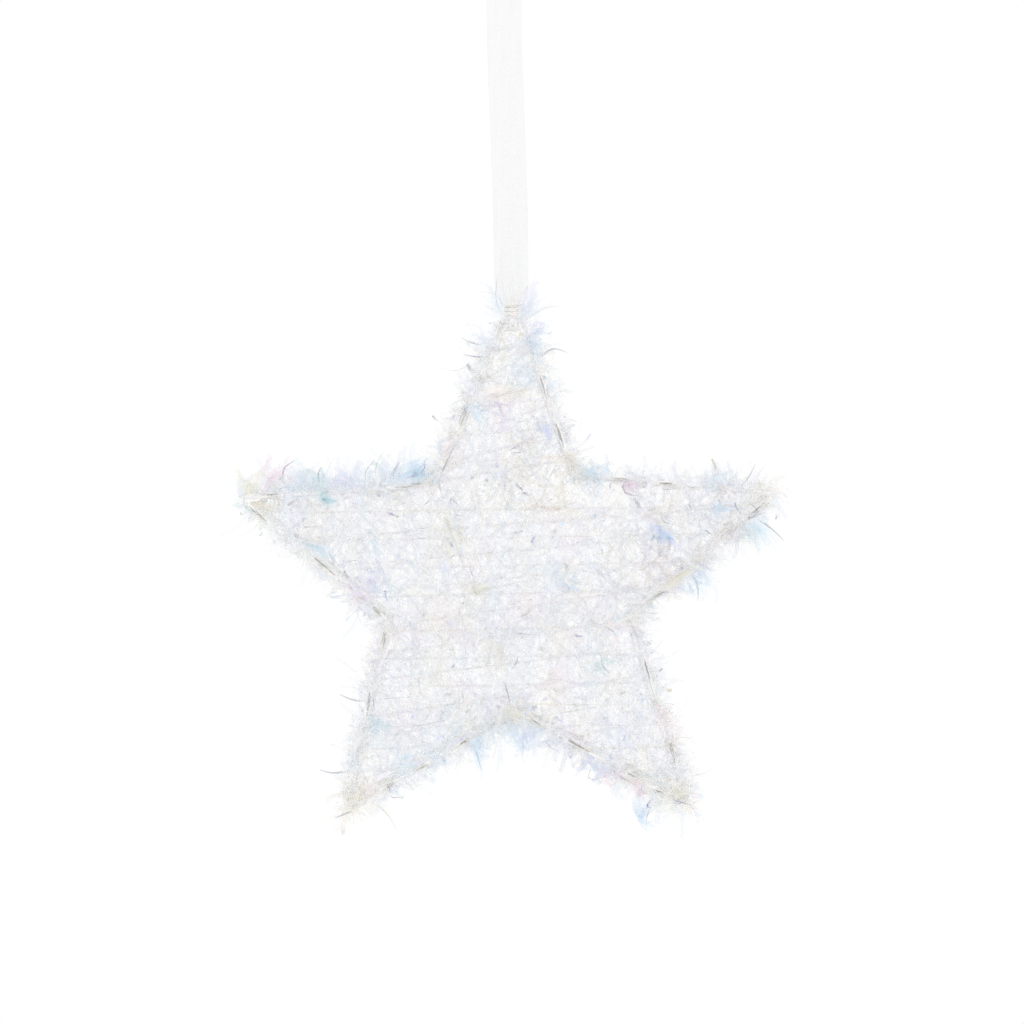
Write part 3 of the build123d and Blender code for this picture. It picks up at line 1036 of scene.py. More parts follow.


# Each stray strip's kind and tint, and its places as across and up by turns. The dark ones, in SLATE, NAVY,
# PLUM and OLIVE, are partly darker film and partly painted shade for film seen edge on and for shadows
# between strips.
STRANDS = tuple(Strand(kind, tint, tuple(zip(places[::2], places[1::2]))) for kind, tint, *places in (
    (HAZE, ROSE, -67.1, 31.1, -66.4, 33.1, -65.1, 34.4), (CURL, PLUM, -65.7, 32.8, -63.9, 34, -61.4, 35.4),
    (HAZE, MIST, -60, 30, -60.8, 33.4, -61.4, 36), (HAZE, TEAL, -55.7, 30.5, -55.4, 31.7, -55.7, 33.1),
    (CURL, SLATE, -55.4, 31.4, -54.8, 32.5, -54, 33.4), (HAZE, LAVENDER, -48, 30, -47.1, 33.4, -46, 36.3),
    (HAIR, OLIVE, -39.1, 31.1, -38.8, 34.8, -36, 38.3), (HAZE, MIST, -36.3, 31.1, -35.1, 34, -34.5, 37.1),
    (HAIR, SLATE, -42.3, 31.1, -41.1, 33.4, -38.8, 35.7), (HAIR, SLATE, -35.1, 30.5, -34, 32.3, -32, 35.1),
    (FLAKE, SKY, -30, 31.1, -27.7, 33.4, -24.8, 35.1),
    (CURL, NAVY, -31.4, 30.5, -27.4, 30.8, -24.6, 32.8, -24.8, 35.4),
    (FLAKE, SKY, -28.3, 31.4, -27.1, 33.1, -26, 34.5), (CURL, SLATE, -34.2, 31.4, -33.1, 33.1, -32, 34.8),
    (FLAKE, TEAL, -54.5, 24.6, -52.2, 23.4, -48.5, 22.6),
    (HAIR, SLATE, -53.4, 25.1, -52.5, 22.8, -52.2, 20.8), (FLAKE, SKY, -56.8, 11.1, -53.4, 9.7, -51.1, 8.3),
    (HAIR, NAVY, -52.5, 9.1, -50.8, 7.7, -50.2, 6.3), (HAZE, PERIWINKLE, -40.3, 3.1, -38, 0.3, -36.3, -3.7),
    (CURL, NAVY, -36.3, -0.6, -36, -2.9, -35.4, -5.1), (HAIR, SLATE, -66.5, 27.4, -65.1, 27.7, -63.7, 27.7),
    (HAIR, SLATE, -27.7, 16.3, -25.4, 16, -23.4, 16.6), (HAIR, SLATE, -27.4, 14, -26, 13.1, -24.3, 13.4),
    (HAIR, OLIVE, -61.7, 16.6, -58.2, 16.3, -54.5, 16.8), (HAIR, SLATE, -49.4, 6, -46, 7.1, -41.7, 7.4),
    (CURL, PLUM, 33.1, 30, 31.1, 29.1, 30.8, 27.1, 32.5, 25.4, 35.4, 25.4),
    (FLAKE, ROSE, 31.7, 28.8, 33.4, 27.7, 35.4, 26.8),
    (FLAKE, PERIWINKLE, 40.3, 15.7, 43.1, 13.4, 46.5, 11.1), (CURL, NAVY, 44.3, 15.4, 44, 13.4, 44.3, 10.8),
    (FLAKE, SKY, 57.4, 20.8, 59.7, 22, 62.2, 22.8), (CURL, NAVY, 62.8, 24.3, 62.8, 22, 64.2, 20),
    (HAIR, OLIVE, 65.1, 22, 67.7, 23.4, 70.2, 24), (CURL, SLATE, 66, 18.3, 68.2, 19.7, 70.8, 20.8),
    (HAIR, SLATE, 66, 24.2, 68.2, 22.3, 70, 20), (HAIR, SLATE, 42, 27.1, 44.5, 27.2, 47.1, 27.4),
    (HAIR, SLATE, 49.1, 28, 51.1, 27.7, 52.8, 28), (CURL, NAVY, 54.5, 15.7, 55.1, 15.1, 55.7, 14.6),
    (HAIR, SLATE, 36.8, -7.6, 39.4, -7.9, 42, -7.7), (FLAKE, SKY, 41.4, 14.8, 43.4, 13.7, 45.7, 13.1),
    (CURL, NAVY, 43.4, 14.3, 43.9, 12.9, 44.8, 11.7), (HAIR, PLUM, 49.4, 23.4, 50.2, 22.3, 50.2, 20.8),
    (HAZE, SKY, 68.2, 18, 71.1, 14.6, 72.8, 10.6), (CURL, SLATE, 69.4, 18.6, 73.1, 16.3, 76.2, 12.8),
    (HAZE, TEAL, 67.1, 16.3, 69.1, 12.8, 69.7, 9.4), (HAIR, NAVY, 14.6, 1.1, 15.4, 0, 16, -1.4),
    (HAZE, SKY, 13.4, 1.4, 15.7, -0.3, 18.6, -2), (HAZE, SKY, 52.2, 2, 54, -0.9, 54.5, -4.3),
    (CURL, SLATE, 51.4, 2.6, 52.5, -0.9, 52, -4.3),
    (FLAKE, STRAW, 40.5, -0.3, 44.8, 0.6, 48.8, 3.4, 52.5, 4.3),
    (HAIR, OLIVE, 43.4, 0.6, 47.7, 3.7, 51.7, 4.6), (HAIR, NAVY, 40.8, -3.1, 43.1, -1.4, 45.4, -2),
    (HAZE, SKY, 22, 30.5, 24.8, 32.3, 28.3, 33.4), (HAZE, SKY, 55.7, 30, 57.7, 31.1, 60, 32.3),
    (CURL, SLATE, 64.8, 28.3, 67.1, 31.1, 68.2, 34.5), (CURL, SKY, 68.2, 28.3, 69.4, 31.7, 71.1, 34),
    (HAIR, OLIVE, 21.1, 8.3, 26, 9.1, 31.1, 11.1), (HAIR, OLIVE, 3.7, 75.1, 7.1, 77.7, 10, 78.8, 13.4, 78.8),
    (HAIR, OLIVE, -3.1, 80.8, -5.1, 82.5, -7.4, 83.1, -10, 82.8), (HAZE, MIST, 4.3, 77.9, 6, 80.2, 8, 81.7),
    (HAZE, PERIWINKLE, 5.4, 72.2, 7.7, 73.4, 9, 74.2), (HAZE, MIST, 5.4, 68.8, 7.1, 67.7, 9.1, 64.8),
    (CURL, SLATE, 8.3, 65.1, 10.3, 66.8, 12.3, 67.1, 15.1, 65.7),
    (CURL, NAVY, -7.7, 64.8, -10, 64.5, -14, 65.1),
    (HAIR, OLIVE, -8.9, 62.8, -13.4, 62.2, -16, 60, -20.6, 61.4),
    (CURL, SLATE, -8.3, 68.5, -11.7, 68.2, -14.6, 69.9), (HAZE, MIST, -7.7, 69.4, -10, 68.8, -12.6, 67.1),
    (CURL, OLIVE, -10.6, 54.8, -12.8, 51.7, -17.1, 47.1), (HAIR, NAVY, -11.7, 52.2, -13.4, 50, -15.1, 48.5),
    (HAIR, NAVY, -0.9, 37.7, 1.7, 37.4, 4, 38), (HAIR, SLATE, -9.4, 49.4, -8.3, 49.7, -6.9, 49.4),
    (HAZE, SKY, -11.1, 49.4, -9.1, 47.7, -6.9, 45.7), (FLAKE, PERIWINKLE, 8.3, 46.8, 10, 44.3, 10.8, 40.8),
    (HAIR, SLATE, -4.3, 75.1, -2.9, 73.7, -1.4, 73.9), (HAIR, SLATE, -2.3, 71.9, -0.6, 72.5, 0.9, 71.4),
    (HAIR, OLIVE, -4.6, 72.8, -4, 70.8, -4.6, 68.8), (FLAKE, CREAM, -10, 53.4, -3.7, 54.5, 2, 56),
    (HAZE, STRAW, -3.7, 54, 2, 54.8, 6.6, 56.5), (HAIR, OLIVE, -8, 53.4, -2.3, 54, 3.4, 55.1),
    (CURL, SLATE, -43.1, -32.8, -46, -32.3, -48.8, -30.5),
    (CURL, NAVY, -39.7, -32, -39.4, -33.4, -39.1, -35.1),
    (CURL, SLATE, -45.4, -52.2, -49.4, -53.1, -52.2, -52.8, -54.5, -51.7),
    (CURL, SLATE, -45.4, -64.2, -47.7, -64.5, -50.2, -65.4),
    (CURL, OLIVE, -39.1, -62.5, -36.3, -63.7, -34.5, -65.7, -32.8, -68.5),
    (CURL, NAVY, -35.7, -56.2, -34.8, -57.4, -34.5, -58.5),
    (CURL, PLUM, -34.8, -60, -33.4, -60, -31.4, -59.4),
    (HAZE, TEAL, -39.7, -39.1, -37.4, -40.3, -34.8, -39.7),
    (HAIR, SLATE, -40.5, -40.8, -40.3, -40, -39.1, -38.8),
    (HAIR, NAVY, -39.1, -40.8, -37.7, -41.4, -36.5, -41.7), (HAIR, SKY, -18.6, -42.5, -16.3, -40.5, -14, -38),
    (CURL, TEAL, -22.3, -46.5, -20.3, -48.8, -18, -51.7),
    (HAZE, SKY, -33.4, -50.5, -30.5, -50.5, -27.4, -49.4),
    (HAIR, TEAL, -32.3, -51.7, -29.4, -51.4, -27.1, -50.8),
    (HAZE, SKY, -11.1, -43.7, -10, -47.1, -8.3, -51.7), (CURL, SLATE, -11.7, -44.3, -10, -48.2, -8.9, -51.7),
    (HAZE, SKY, -1.4, -40.3, 0.9, -43.7, 2, -47.7), (HAZE, PERIWINKLE, 3.1, -39.7, 4.3, -44.3, 4.9, -48.8),
    (HAIR, SLATE, 2.3, -41.7, 3.1, -44.8, 2.6, -48.2), (HAIR, SLATE, 8.6, -44.3, 11.4, -46.2, 14.6, -47.7),
    (HAIR, NAVY, -14.3, -31.1, -14, -32.5, -13.7, -33.7),
    (HAIR, OLIVE, -38.5, -24.3, -33.4, -23.7, -28, -22.3),
    (HAIR, SLATE, -31.1, -40.3, -24.3, -39.1, -18.3, -37.7),
    (CURL, NAVY, 25.1, -22.8, 26.3, -23.7, 27.1, -24.6), (HAZE, TEAL, 23.7, -22.6, 26, -22, 28.8, -21.4),
    (HAIR, SLATE, 11.4, -28.3, 12, -30, 12.6, -31.1), (HAIR, SLATE, 36.8, -19.7, 38.8, -28, 40, -31.7),
    (HAIR, OLIVE, 44.5, -44.8, 46.8, -42.8, 50, -42.8, 51.4, -44.3),
    (HAIR, SLATE, 44.8, -44.8, 45.7, -48.5, 45.7, -52),
    (HAIR, OLIVE, 49.4, -54.5, 51.4, -53.7, 54.8, -52.8, 56.8, -50.8),
    (CURL, NAVY, 44, -60.2, 46.8, -61.1, 50.2, -61.7), (HAIR, SLATE, 45.4, -62.2, 47.7, -61.4, 49.7, -60.2),
    (HAZE, ROSE, 26, -52.5, 28, -54.5, 30, -56.5), (HAIR, PLUM, 20.3, -55.4, 23.1, -54.8, 26.6, -53.7),
    (HAZE, ROSE, 34.2, -55.4, 36, -57.4, 38, -59.4), (CURL, SLATE, 29.7, -53.7, 31.4, -54.8, 33.1, -55.1),
    (HAIR, PLUM, 36, -58.2, 37.4, -58.8, 39.1, -58.8), (CURL, NAVY, 37.4, -62.8, 38.3, -62.5, 39.1, -62.5),
    (FLAKE, SKY, 34, -64.8, 36.8, -66.5, 39.7, -67.7), (HAIR, NAVY, 36.8, -67.9, 38.5, -67.1, 40, -65.7),
    (HAIR, SLATE, 33.1, -52.5, 34.8, -53.1, 36.8, -53.4), (FLAKE, CREAM, 29.1, -54, 32.8, -55.1, 36.3, -55.7),
    (HAIR, OLIVE, -12.6, -2.6, -6.6, -0.9, -0.9, 0.3, 3.1, 1.4),
    (HAIR, SLATE, -2.6, -13.4, 2, -13.4, 7.7, -14), (HAIR, NAVY, 58, 25.1, 58.5, 23.4, 58.8, 22),
    (HAIR, NAVY, 42, 18.6, 43.1, 17.7, 44.3, 17.4), (CURL, SLATE, -21.4, 27.7, -20, 32.8, -16.3, 39.7),
    (HAIR, NAVY, 7.5, 60.5, 8.2, 57, 9, 53.5), (HAIR, SLATE, 12.1, 46.5, 13.2, 43.2, 14.4, 40.2),
    (HAIR, OLIVE, -21.4, 30.2, -20.8, 27.9, -20.3, 25.1),
    (HAIR, SLATE, -20.9, 29.4, -20.6, 27.1, -19.7, 24.5), (CURL, NAVY, -17.7, 25.1, -17.1, 24.2, -15.4, 22.8),
    (HAIR, SLATE, -16.6, 20, -15.1, 19.7, -13.7, 19.9), (HAZE, STRAW, -17.4, 16.8, -15.7, 11.4, -13.4, 6),
    (HAIR, SLATE, -12.8, 6.8, -11.7, 3.4, -10.6, 0.3), (CURL, NAVY, -11.4, -0.9, -10.8, -1.7, -10.3, -2.3),
    (CURL, OLIVE, -7.7, -0.9, -7.1, -1.4, -6.6, -2), (FLAKE, STRAW, -12.6, -2.3, -9.4, -1.2, -5.7, -0.6),
    (HAIR, SLATE, -19.4, -17.7, -16.8, -18.3, -14, -18), (HAIR, TEAL, -9.7, -12.6, -8.3, -13.4, -6, -14.3),
    (HAZE, STRAW, -5.7, -15.4, -4.6, -21.1, -3.7, -27.1), (CURL, SLATE, 1.4, -19.7, 1.1, -22, -0.6, -23.7),
    (CURL, SLATE, -2.9, -26, -1.7, -29.7, -0.6, -33.9), (HAZE, STRAW, -2, -34.5, 1.7, -35.7, 5.4, -37.7),
    (HAIR, SLATE, -60.3, 16.6, -57.4, 16.5, -54.8, 16.9),
    (HAIR, SLATE, -38.8, -32.5, -34, -31.7, -28.6, -31.4), (HAIR, SLATE, -4.6, 79.4, -5.1, 83.4, -4.3, 87.4),
    (HAZE, LAVENDER, 3.4, 79.1, 4.9, 82, 6.6, 85.4), (HAZE, MIST, -3.7, 79.1, -5.7, 81.4, -7.1, 84.8),
))


def cloudy(places: Array, seed: int, size: float, waves: int = 18) -> Array:
    """Soft clouds over the star, mostly from -2 to 2.

    Args:
        places: where they are asked for.
        seed: which clouds.
        size: about how wide one cloud is.
        waves: how many waves add up to them.

    Returns:
        The clouds' value at each place.
    """
    rng = np.random.default_rng(seed)
    ways = unit(rng.normal(size=(waves, 3)))
    turns = FULL_TURN / (size * rng.uniform(1.2, 3.2, waves))
    starts = rng.uniform(0, FULL_TURN, waves)
    return np.sin(places @ (ways * turns[:, None]).T + starts).sum(1) * math.sqrt(2 / waves)


@dataclass
class StripPile:
    """Film strips gathered into one mesh.

    Attributes:
        crumple: how far a strip's line strays at its end.
        deeper: how much darker, at most, a strip is along one of its sides: painted shade.
        coloured_from: how far along, at least and at most, a strip's end colour starts.
        fade: the share of the length over which a colour changes.
        stray_depths: how deep a stray strip lies near its root and at its end.
        strips: for each batch, its strips' middle lines, half widths, tints and covers.
    """

    rng: np.random.Generator
    segments: int = 6
    least_curl: float = 0.15
    crumple: float = 0.00012
    deeper: float = 0.06
    coloured_from: tuple[float, float] = (0.62, 0.92)
    fade: float = 0.15
    stray_depths: tuple[float, float] = (-0.0132, -0.0170)
    root_cover: float = 0.08
    strips: list[tuple[Array, Array, Array, Array]] = field(default_factory=list)

    @property
    def count(self) -> int:
        """How many strips the pile holds."""
        return sum(len(lines) for lines, *_ in self.strips)

    @property
    def along(self) -> Array:
        """The share of the length at each ring of a strip."""
        return np.linspace(0, 1, self.segments + 1)

    def between(self, low: float, high: float, count: int) -> Array:
        """Even random values."""
        return self.rng.uniform(low, high, count)

    def each(self, low: float, high: float, count: int) -> Array:
        """Even random values, one for each strip and the same at all its rings."""
        return self.between(low, high, count)[:, None, None]

    def sign(self, count: int) -> Array:
        """Minus one or one at random."""
        return self.rng.choice([-1.0, 1.0], count)

    def spaced(self, count: int) -> Array:
        """Even shares of a length, each moved a little at random, one a row."""
        return ((np.arange(count) + self.rng.random(count)) / count)[:, None]

    def add(self, roots: Array, aims: Array, cut: StripCut, tints: Array, ends: Array, covers: Array,
            faced: tuple[float, float, float] = THROUGH) -> None:
        """Adds strips that bend and twist at random.

        Args:
            roots: where each starts.
            aims: where each points at its root.
            cut: their cut.
            tints: each strip's colour along most of its length, in linear light.
            ends: each strip's colour at its end.
            covers: how much each covers what lies behind it, at its root and its end.
            faced: the way that the flats of a facing cut turn to.
        """
        count = len(roots)
        aims = unit(aims)
        away = unit(np.cross(aims, unit(self.rng.normal(size=(count, 3)))))
        normal = np.cross(aims, away)
        share = self.along[None, :, None]
        curl = self.sign(count)[:, None, None] * self.each(self.least_curl, cut.curl, count)
        length = self.each(*cut.length, count)
        bend = curl * share
        forward, aside = aims[:, None], away[:, None]
        line = roots[:, None] + length * (forward * np.sin(bend) / curl + aside * (1 - np.cos(bend)) / curl)
        line = line + self.rng.normal(0, self.crumple, line.shape) * share
        turn = self.each(0, math.pi, count)
        turn = turn + self.each(-cut.twist, cut.twist, count) * share
        inner = aside * np.cos(bend) - forward * np.sin(bend)
        side = normal[:, None] * np.cos(turn) + inner * np.sin(turn)
        if cut.facing:
            along = unit(np.gradient(line, axis=1))
            flat = unit(np.cross(along, faced)) * np.sign((side[:, :1] * aside).sum(-1, keepdims=True))
            side = unit(side + cut.facing * flat)
        width = self.each(*cut.width, count) * (1 - cut.taper * share**2)
        late = np.clip((share - self.each(*self.coloured_from, count)) / self.fade, 0, 1)
        tinted = tints[:, None] * (1 - late) + ends[:, None] * late
        covered = covers[:, :1] * (1 - late[..., 0]) + covers[:, 1:] * late[..., 0]
        self.strips.append((line, side * width / 2, tinted, covered))

    def lay(self, strand: Strand, plan: StarPlan, anchors: Array) -> None:
        """Lays a stray strip, or a few, along its places from the nearest wire or thread.

        Args:
            strand: the strip.
            plan: the star whose centre its places are measured from.
            anchors: places on the front wires and threads.
        """
        cut = strand.kind.value
        loose = cut.spread > 0
        step, taper, shortest, tinted, apart, turned = 0.0001, 0.7, 0.55, (0.4, 1.1), 1.2, 600
        depths = np.linspace(*self.stray_depths, len(strand.places))
        places = [plan.spot(x / 1000, z / 1000, y) for (x, z), y in zip(strand.places, depths)]
        near = np.argsort(np.linalg.norm(anchors - places[0], axis=1))[:3 * cut.count - 2]
        coloured = np.clip((self.along - self.fade * (1 + loose)) / (2 * self.fade), 0, 1)[None, :, None]
        for _ in range(cut.count):
            root = anchors[self.rng.choice(near)]
            moved, share = self.rng.normal(0, cut.spread, 3), self.rng.uniform(shortest, 1) if loose else 1.0
            strayed = [place + moved + self.rng.normal(0, cut.spread * apart, 3) for place in places]
            line = smooth_line([root, *strayed], step)
            line = line[np.linspace(0, (len(line) - 1) * share, self.segments + 1).astype(int)]
            along = unit(np.gradient(line, axis=0))
            turn = np.linspace(*cut.turned, self.segments + 1)[:, None]
            turn = turn + self.rng.normal(0, cut.spread * turned)
            flat = unit(np.cross(along, THROUGH))
            side = flat * np.cos(turn) + np.cross(along, flat) * np.sin(turn)
            width = cut.width * (1 - taper * self.along**3)
            depth = coloured * (self.rng.uniform(*tinted) if loose else 1.0)
            self.strips.append((
                line[None],
                (side * width[:, None] / 2)[None],
                ICE.light + (strand.tint.light - ICE.light) * depth,
                self.root_cover + (cut.cover - self.root_cover) * coloured[..., 0],
            ))

    def take_out(self, within: Callable[[Array], Array]) -> None:
        """Takes out the strips that pass through some room.

        Args:
            within: says which of the given points lie in the room.
        """
        for index, batch in enumerate(self.strips):
            kept = ~within(batch[0]).any(1)
            self.strips[index] = tuple(rows[kept] for rows in batch)

    def part(self, start: Array, end: Array, reach: float) -> None:
        """Takes out the strips that lie over a stretch of wire, so that it shows.

        Args:
            start: where the stretch starts, on its front.
            end: where it ends.
            reach: how far from the stretch strips are taken out.
        """
        way = (end - start)[[0, 2]]

        def over(line: Array) -> Array:
            """Whether each point lies in front of the stretch."""
            flat = line[..., [0, 2]] - start[[0, 2]]
            share = np.clip(flat @ way / (way @ way), 0, 1)
            apart = np.linalg.norm(flat - share[..., None] * way, axis=-1)
            return (apart < reach) & (line[..., 1] < start[1])

        self.take_out(over)

    def thread(self, start: Array, end: Array) -> None:
        """Lays a few thin dark strips along a stretch of wire: painted shade that stands for the wire's
        shaded sides.

        Args:
            start: where the stretch starts, on the wire's front.
            end: where it ends.
        """
        overlap, spread, lift, crumple = 0.3, 0.00055, 0.00025, 0.0001
        width, taper, cover = 0.00028, 0.6, 0.42
        way = end - start
        across = unit(np.cross(way, THROUGH))
        # These dark strips are painted shade for the bare wire's shaded sides.
        for tint in (SLATE, OLIVE, DUSK, OLIVE):
            first, last = np.sort(self.rng.uniform(0, 1, 2))
            first, last = max(0.0, first - overlap), min(1.0, last + overlap)
            line = start + way * np.linspace(first, last, self.segments + 1)[:, None]
            line = line + across * self.rng.uniform(-spread, spread)
            line = line - [0.0, lift, 0.0] + self.rng.normal(0, crumple, line.shape)
            widths = width * (1 - taper * self.along**2)
            self.strips.append((
                line[None],
                (across * widths[:, None] / 2)[None],
                np.tile(tint.light, (1, self.segments + 1, 1)),
                np.full((1, self.segments + 1), cover),
            ))

    def piece(self, name: str) -> bpy.types.Object:
        """The strips as one mesh, with their tints, painted shade along one side of each, covers and a flat
        map of tiles.

        Args:
            name: the piece's name.

        Returns:
            The object.
        """
        line, side, tints, covers = (np.concatenate(rows) for rows in zip(*self.strips))
        count, rings = line.shape[:2]
        each = grid_faces(rings, 2)
        faces = (each[None] + (np.arange(count) * rings * 2)[:, None, None]).reshape(-1, 4)
        piece = new_piece(name, np.stack([line - side, line + side], 2), faces)
        # Painted shade: one long side of each strip is darker, the more so the deeper its tint.
        shade = np.ones((count, rings, 2, 1))
        shade[:, :, 1] -= (self.deeper * self.rng.random(count) ** 2)[:, None, None]
        shade = shade ** (1 + 3 * (1 - tints[:, :, None]))
        keep_values(piece, "film_tint", "FLOAT_COLOR", tints[:, :, None] * shade)
        keep_values(piece, "film_clear", "FLOAT", np.repeat(covers.ravel(), 2))
        tiles, margin = math.ceil(math.sqrt(count)), 0.12
        number = np.arange(count)
        corner = np.stack([number % tiles, number // tiles], 1)[:, None, None]
        along, across = np.meshgrid(self.along, [0.0, 1.0], indexing="ij")
        inside = margin + (1 - 2 * margin) * np.stack([along, across], -1)[None]
        keep_map(piece, (corner + inside) / tiles)
        return piece


@dataclass(frozen=True)
class FilmColours:
    """How the film's pale colours drift over the star.

    Attributes:
        cool, warm: the colours in the blue clouds and between them.
        rosy, leafy: the same for the pink clouds.
        mingled: how far single strips depart from the cloud they lie in.
        covers: how much a strip covers, at least and at most.
        strong: how common each strong colour is among the strips that end in one. The dark ones, OLIVE, SLATE
            and NAVY, are partly darker film and partly painted shade for film seen edge on and shadows
            between strips.
        strong_cover: how much more these cover at their ends.
    """

    ground: Colour = (0.989, 0.992, 1.0)
    cool: Colour = (0.971, 0.989, 1.0)
    warm: Colour = (1.0, 0.998, 0.978)
    rosy: Colour = (1.0, 0.989, 1.0)
    leafy: Colour = (0.995, 1.0, 1.0)
    cloud: float = 0.0052
    mingled: float = 0.6
    covers: tuple[float, float] = (0.10, 0.32)
    strong: dict[Tint, float] = field(default_factory=lambda: {
        SKY: 0.27, PERIWINKLE: 0.26, TEAL: 0.07, ROSE: 0.04, OLIVE: 0.12, SLATE: 0.14, NAVY: 0.1,
    })
    strong_share: float = 0.065
    strong_cover: float = 0.3
    # The washes in the neutral grey darken the film where they lie: painted shade.
    washes: tuple[Wash, ...] = (
        Wash(9, 31, 12, SAND), Wash(9, 31, 14, PEARL, 0.3), Wash(-21, 15, 10, PERIWINKLE, 0.08),
        Wash(36, 6, 12, PEARL, 0.3), Wash(-47, -62, 7, SAND, 0.6), Wash(36, -55, 6, SAND),
        Wash(-76, 24.5, 4.5, SAND, 0.6), Wash(0, -37, 6, CREAM, 0.6), Wash(30, 9, 6, CREAM, 0.6),
        Wash(44, 3, 6, SAND), Wash(73, 25.5, 3.5, CREAM), Wash(-2, 54, 6, CREAM, 0.6),
        Wash(-21, -43, 9, ICE, 0.7), Wash(53, 1.5, 6, ICE, 0.7), Wash(-50, 15, 12, ICE, 0.3),
        Wash(-45, 36, 22, ICE, 0.3), Wash(-38, 1, 10, MIST, 0.15), Wash(-26, -18, 10, CREAM, 0.4),
        Wash(-2, 47, 10, LAVENDER, 0.28), Wash(24, -42, 12, LAVENDER, 0.14),
        Wash(50, 18, 18, PEARL, 0.4), Wash(-28, -42, 14, ICE, 0.3),
    )

    def pick(self, pile: StripPile, places: Array, plan: StarPlan) -> tuple[Array, Array, Array]:
        """Each strip's colours and covers.

        Args:
            pile: the pile whose seeded variety is used.
            places: about where each strip shows.
            plan: the star whose centre the washes are measured from.

        Returns:
            The colours along the strips and at their ends in linear light, and the covers.
        """
        count = len(places)
        blue = cloudy(places, 3, self.cloud) + pile.rng.normal(0, self.mingled, count)
        pink = cloudy(places, 4, self.cloud) + pile.rng.normal(0, self.mingled, count)
        light = np.tile(linear(self.ground), (count, 1))
        for colour, amount in ((self.cool, blue), (self.warm, -blue), (self.rosy, pink), (self.leafy, -pink)):
            light = light * np.array(linear(colour)) ** np.maximum(amount, 0)[:, None]
        for wash in self.washes:
            middle = plan.spot(wash.across / 1000, wash.up / 1000)
            apart = np.hypot(places[:, 0] - middle[0], places[:, 2] - middle[2]) * 1000
            inside = (apart < wash.reach) & (pile.rng.random(count) < wash.share) & (places[:, 1] < 0)
            light[inside] = light[inside] * wash.tint.light
        tints, shares = list(self.strong), list(self.strong.values())
        strong = np.array([tint.light for tint in tints])[pile.rng.choice(len(tints), count, p=shares)]
        ending = pile.rng.random(count) < self.strong_share
        cover = pile.between(*self.covers, count)
        ends = np.where(ending[:, None], strong, light)
        return light, ends, np.stack([cover, cover + self.strong_cover * ending], 1)


@dataclass(frozen=True)
class EdgeFilm:
    """The film on one edge of the star.

    Attributes:
        edge: its corners. Shares of its length count from the first.
        side: the side of it that is outside, to the left (-1) or right (1).
        band: the band that its film belongs to.
        fringe: the strips for each metre that stand out from it.
        bare: the stretches of its front wire that show, as shares of its length.
        tall: whether its fringe is cut long.
    """

    edge: Edge
    side: int
    band: Band
    fringe: float
    bare: tuple[tuple[float, float], ...]
    tall: bool = False


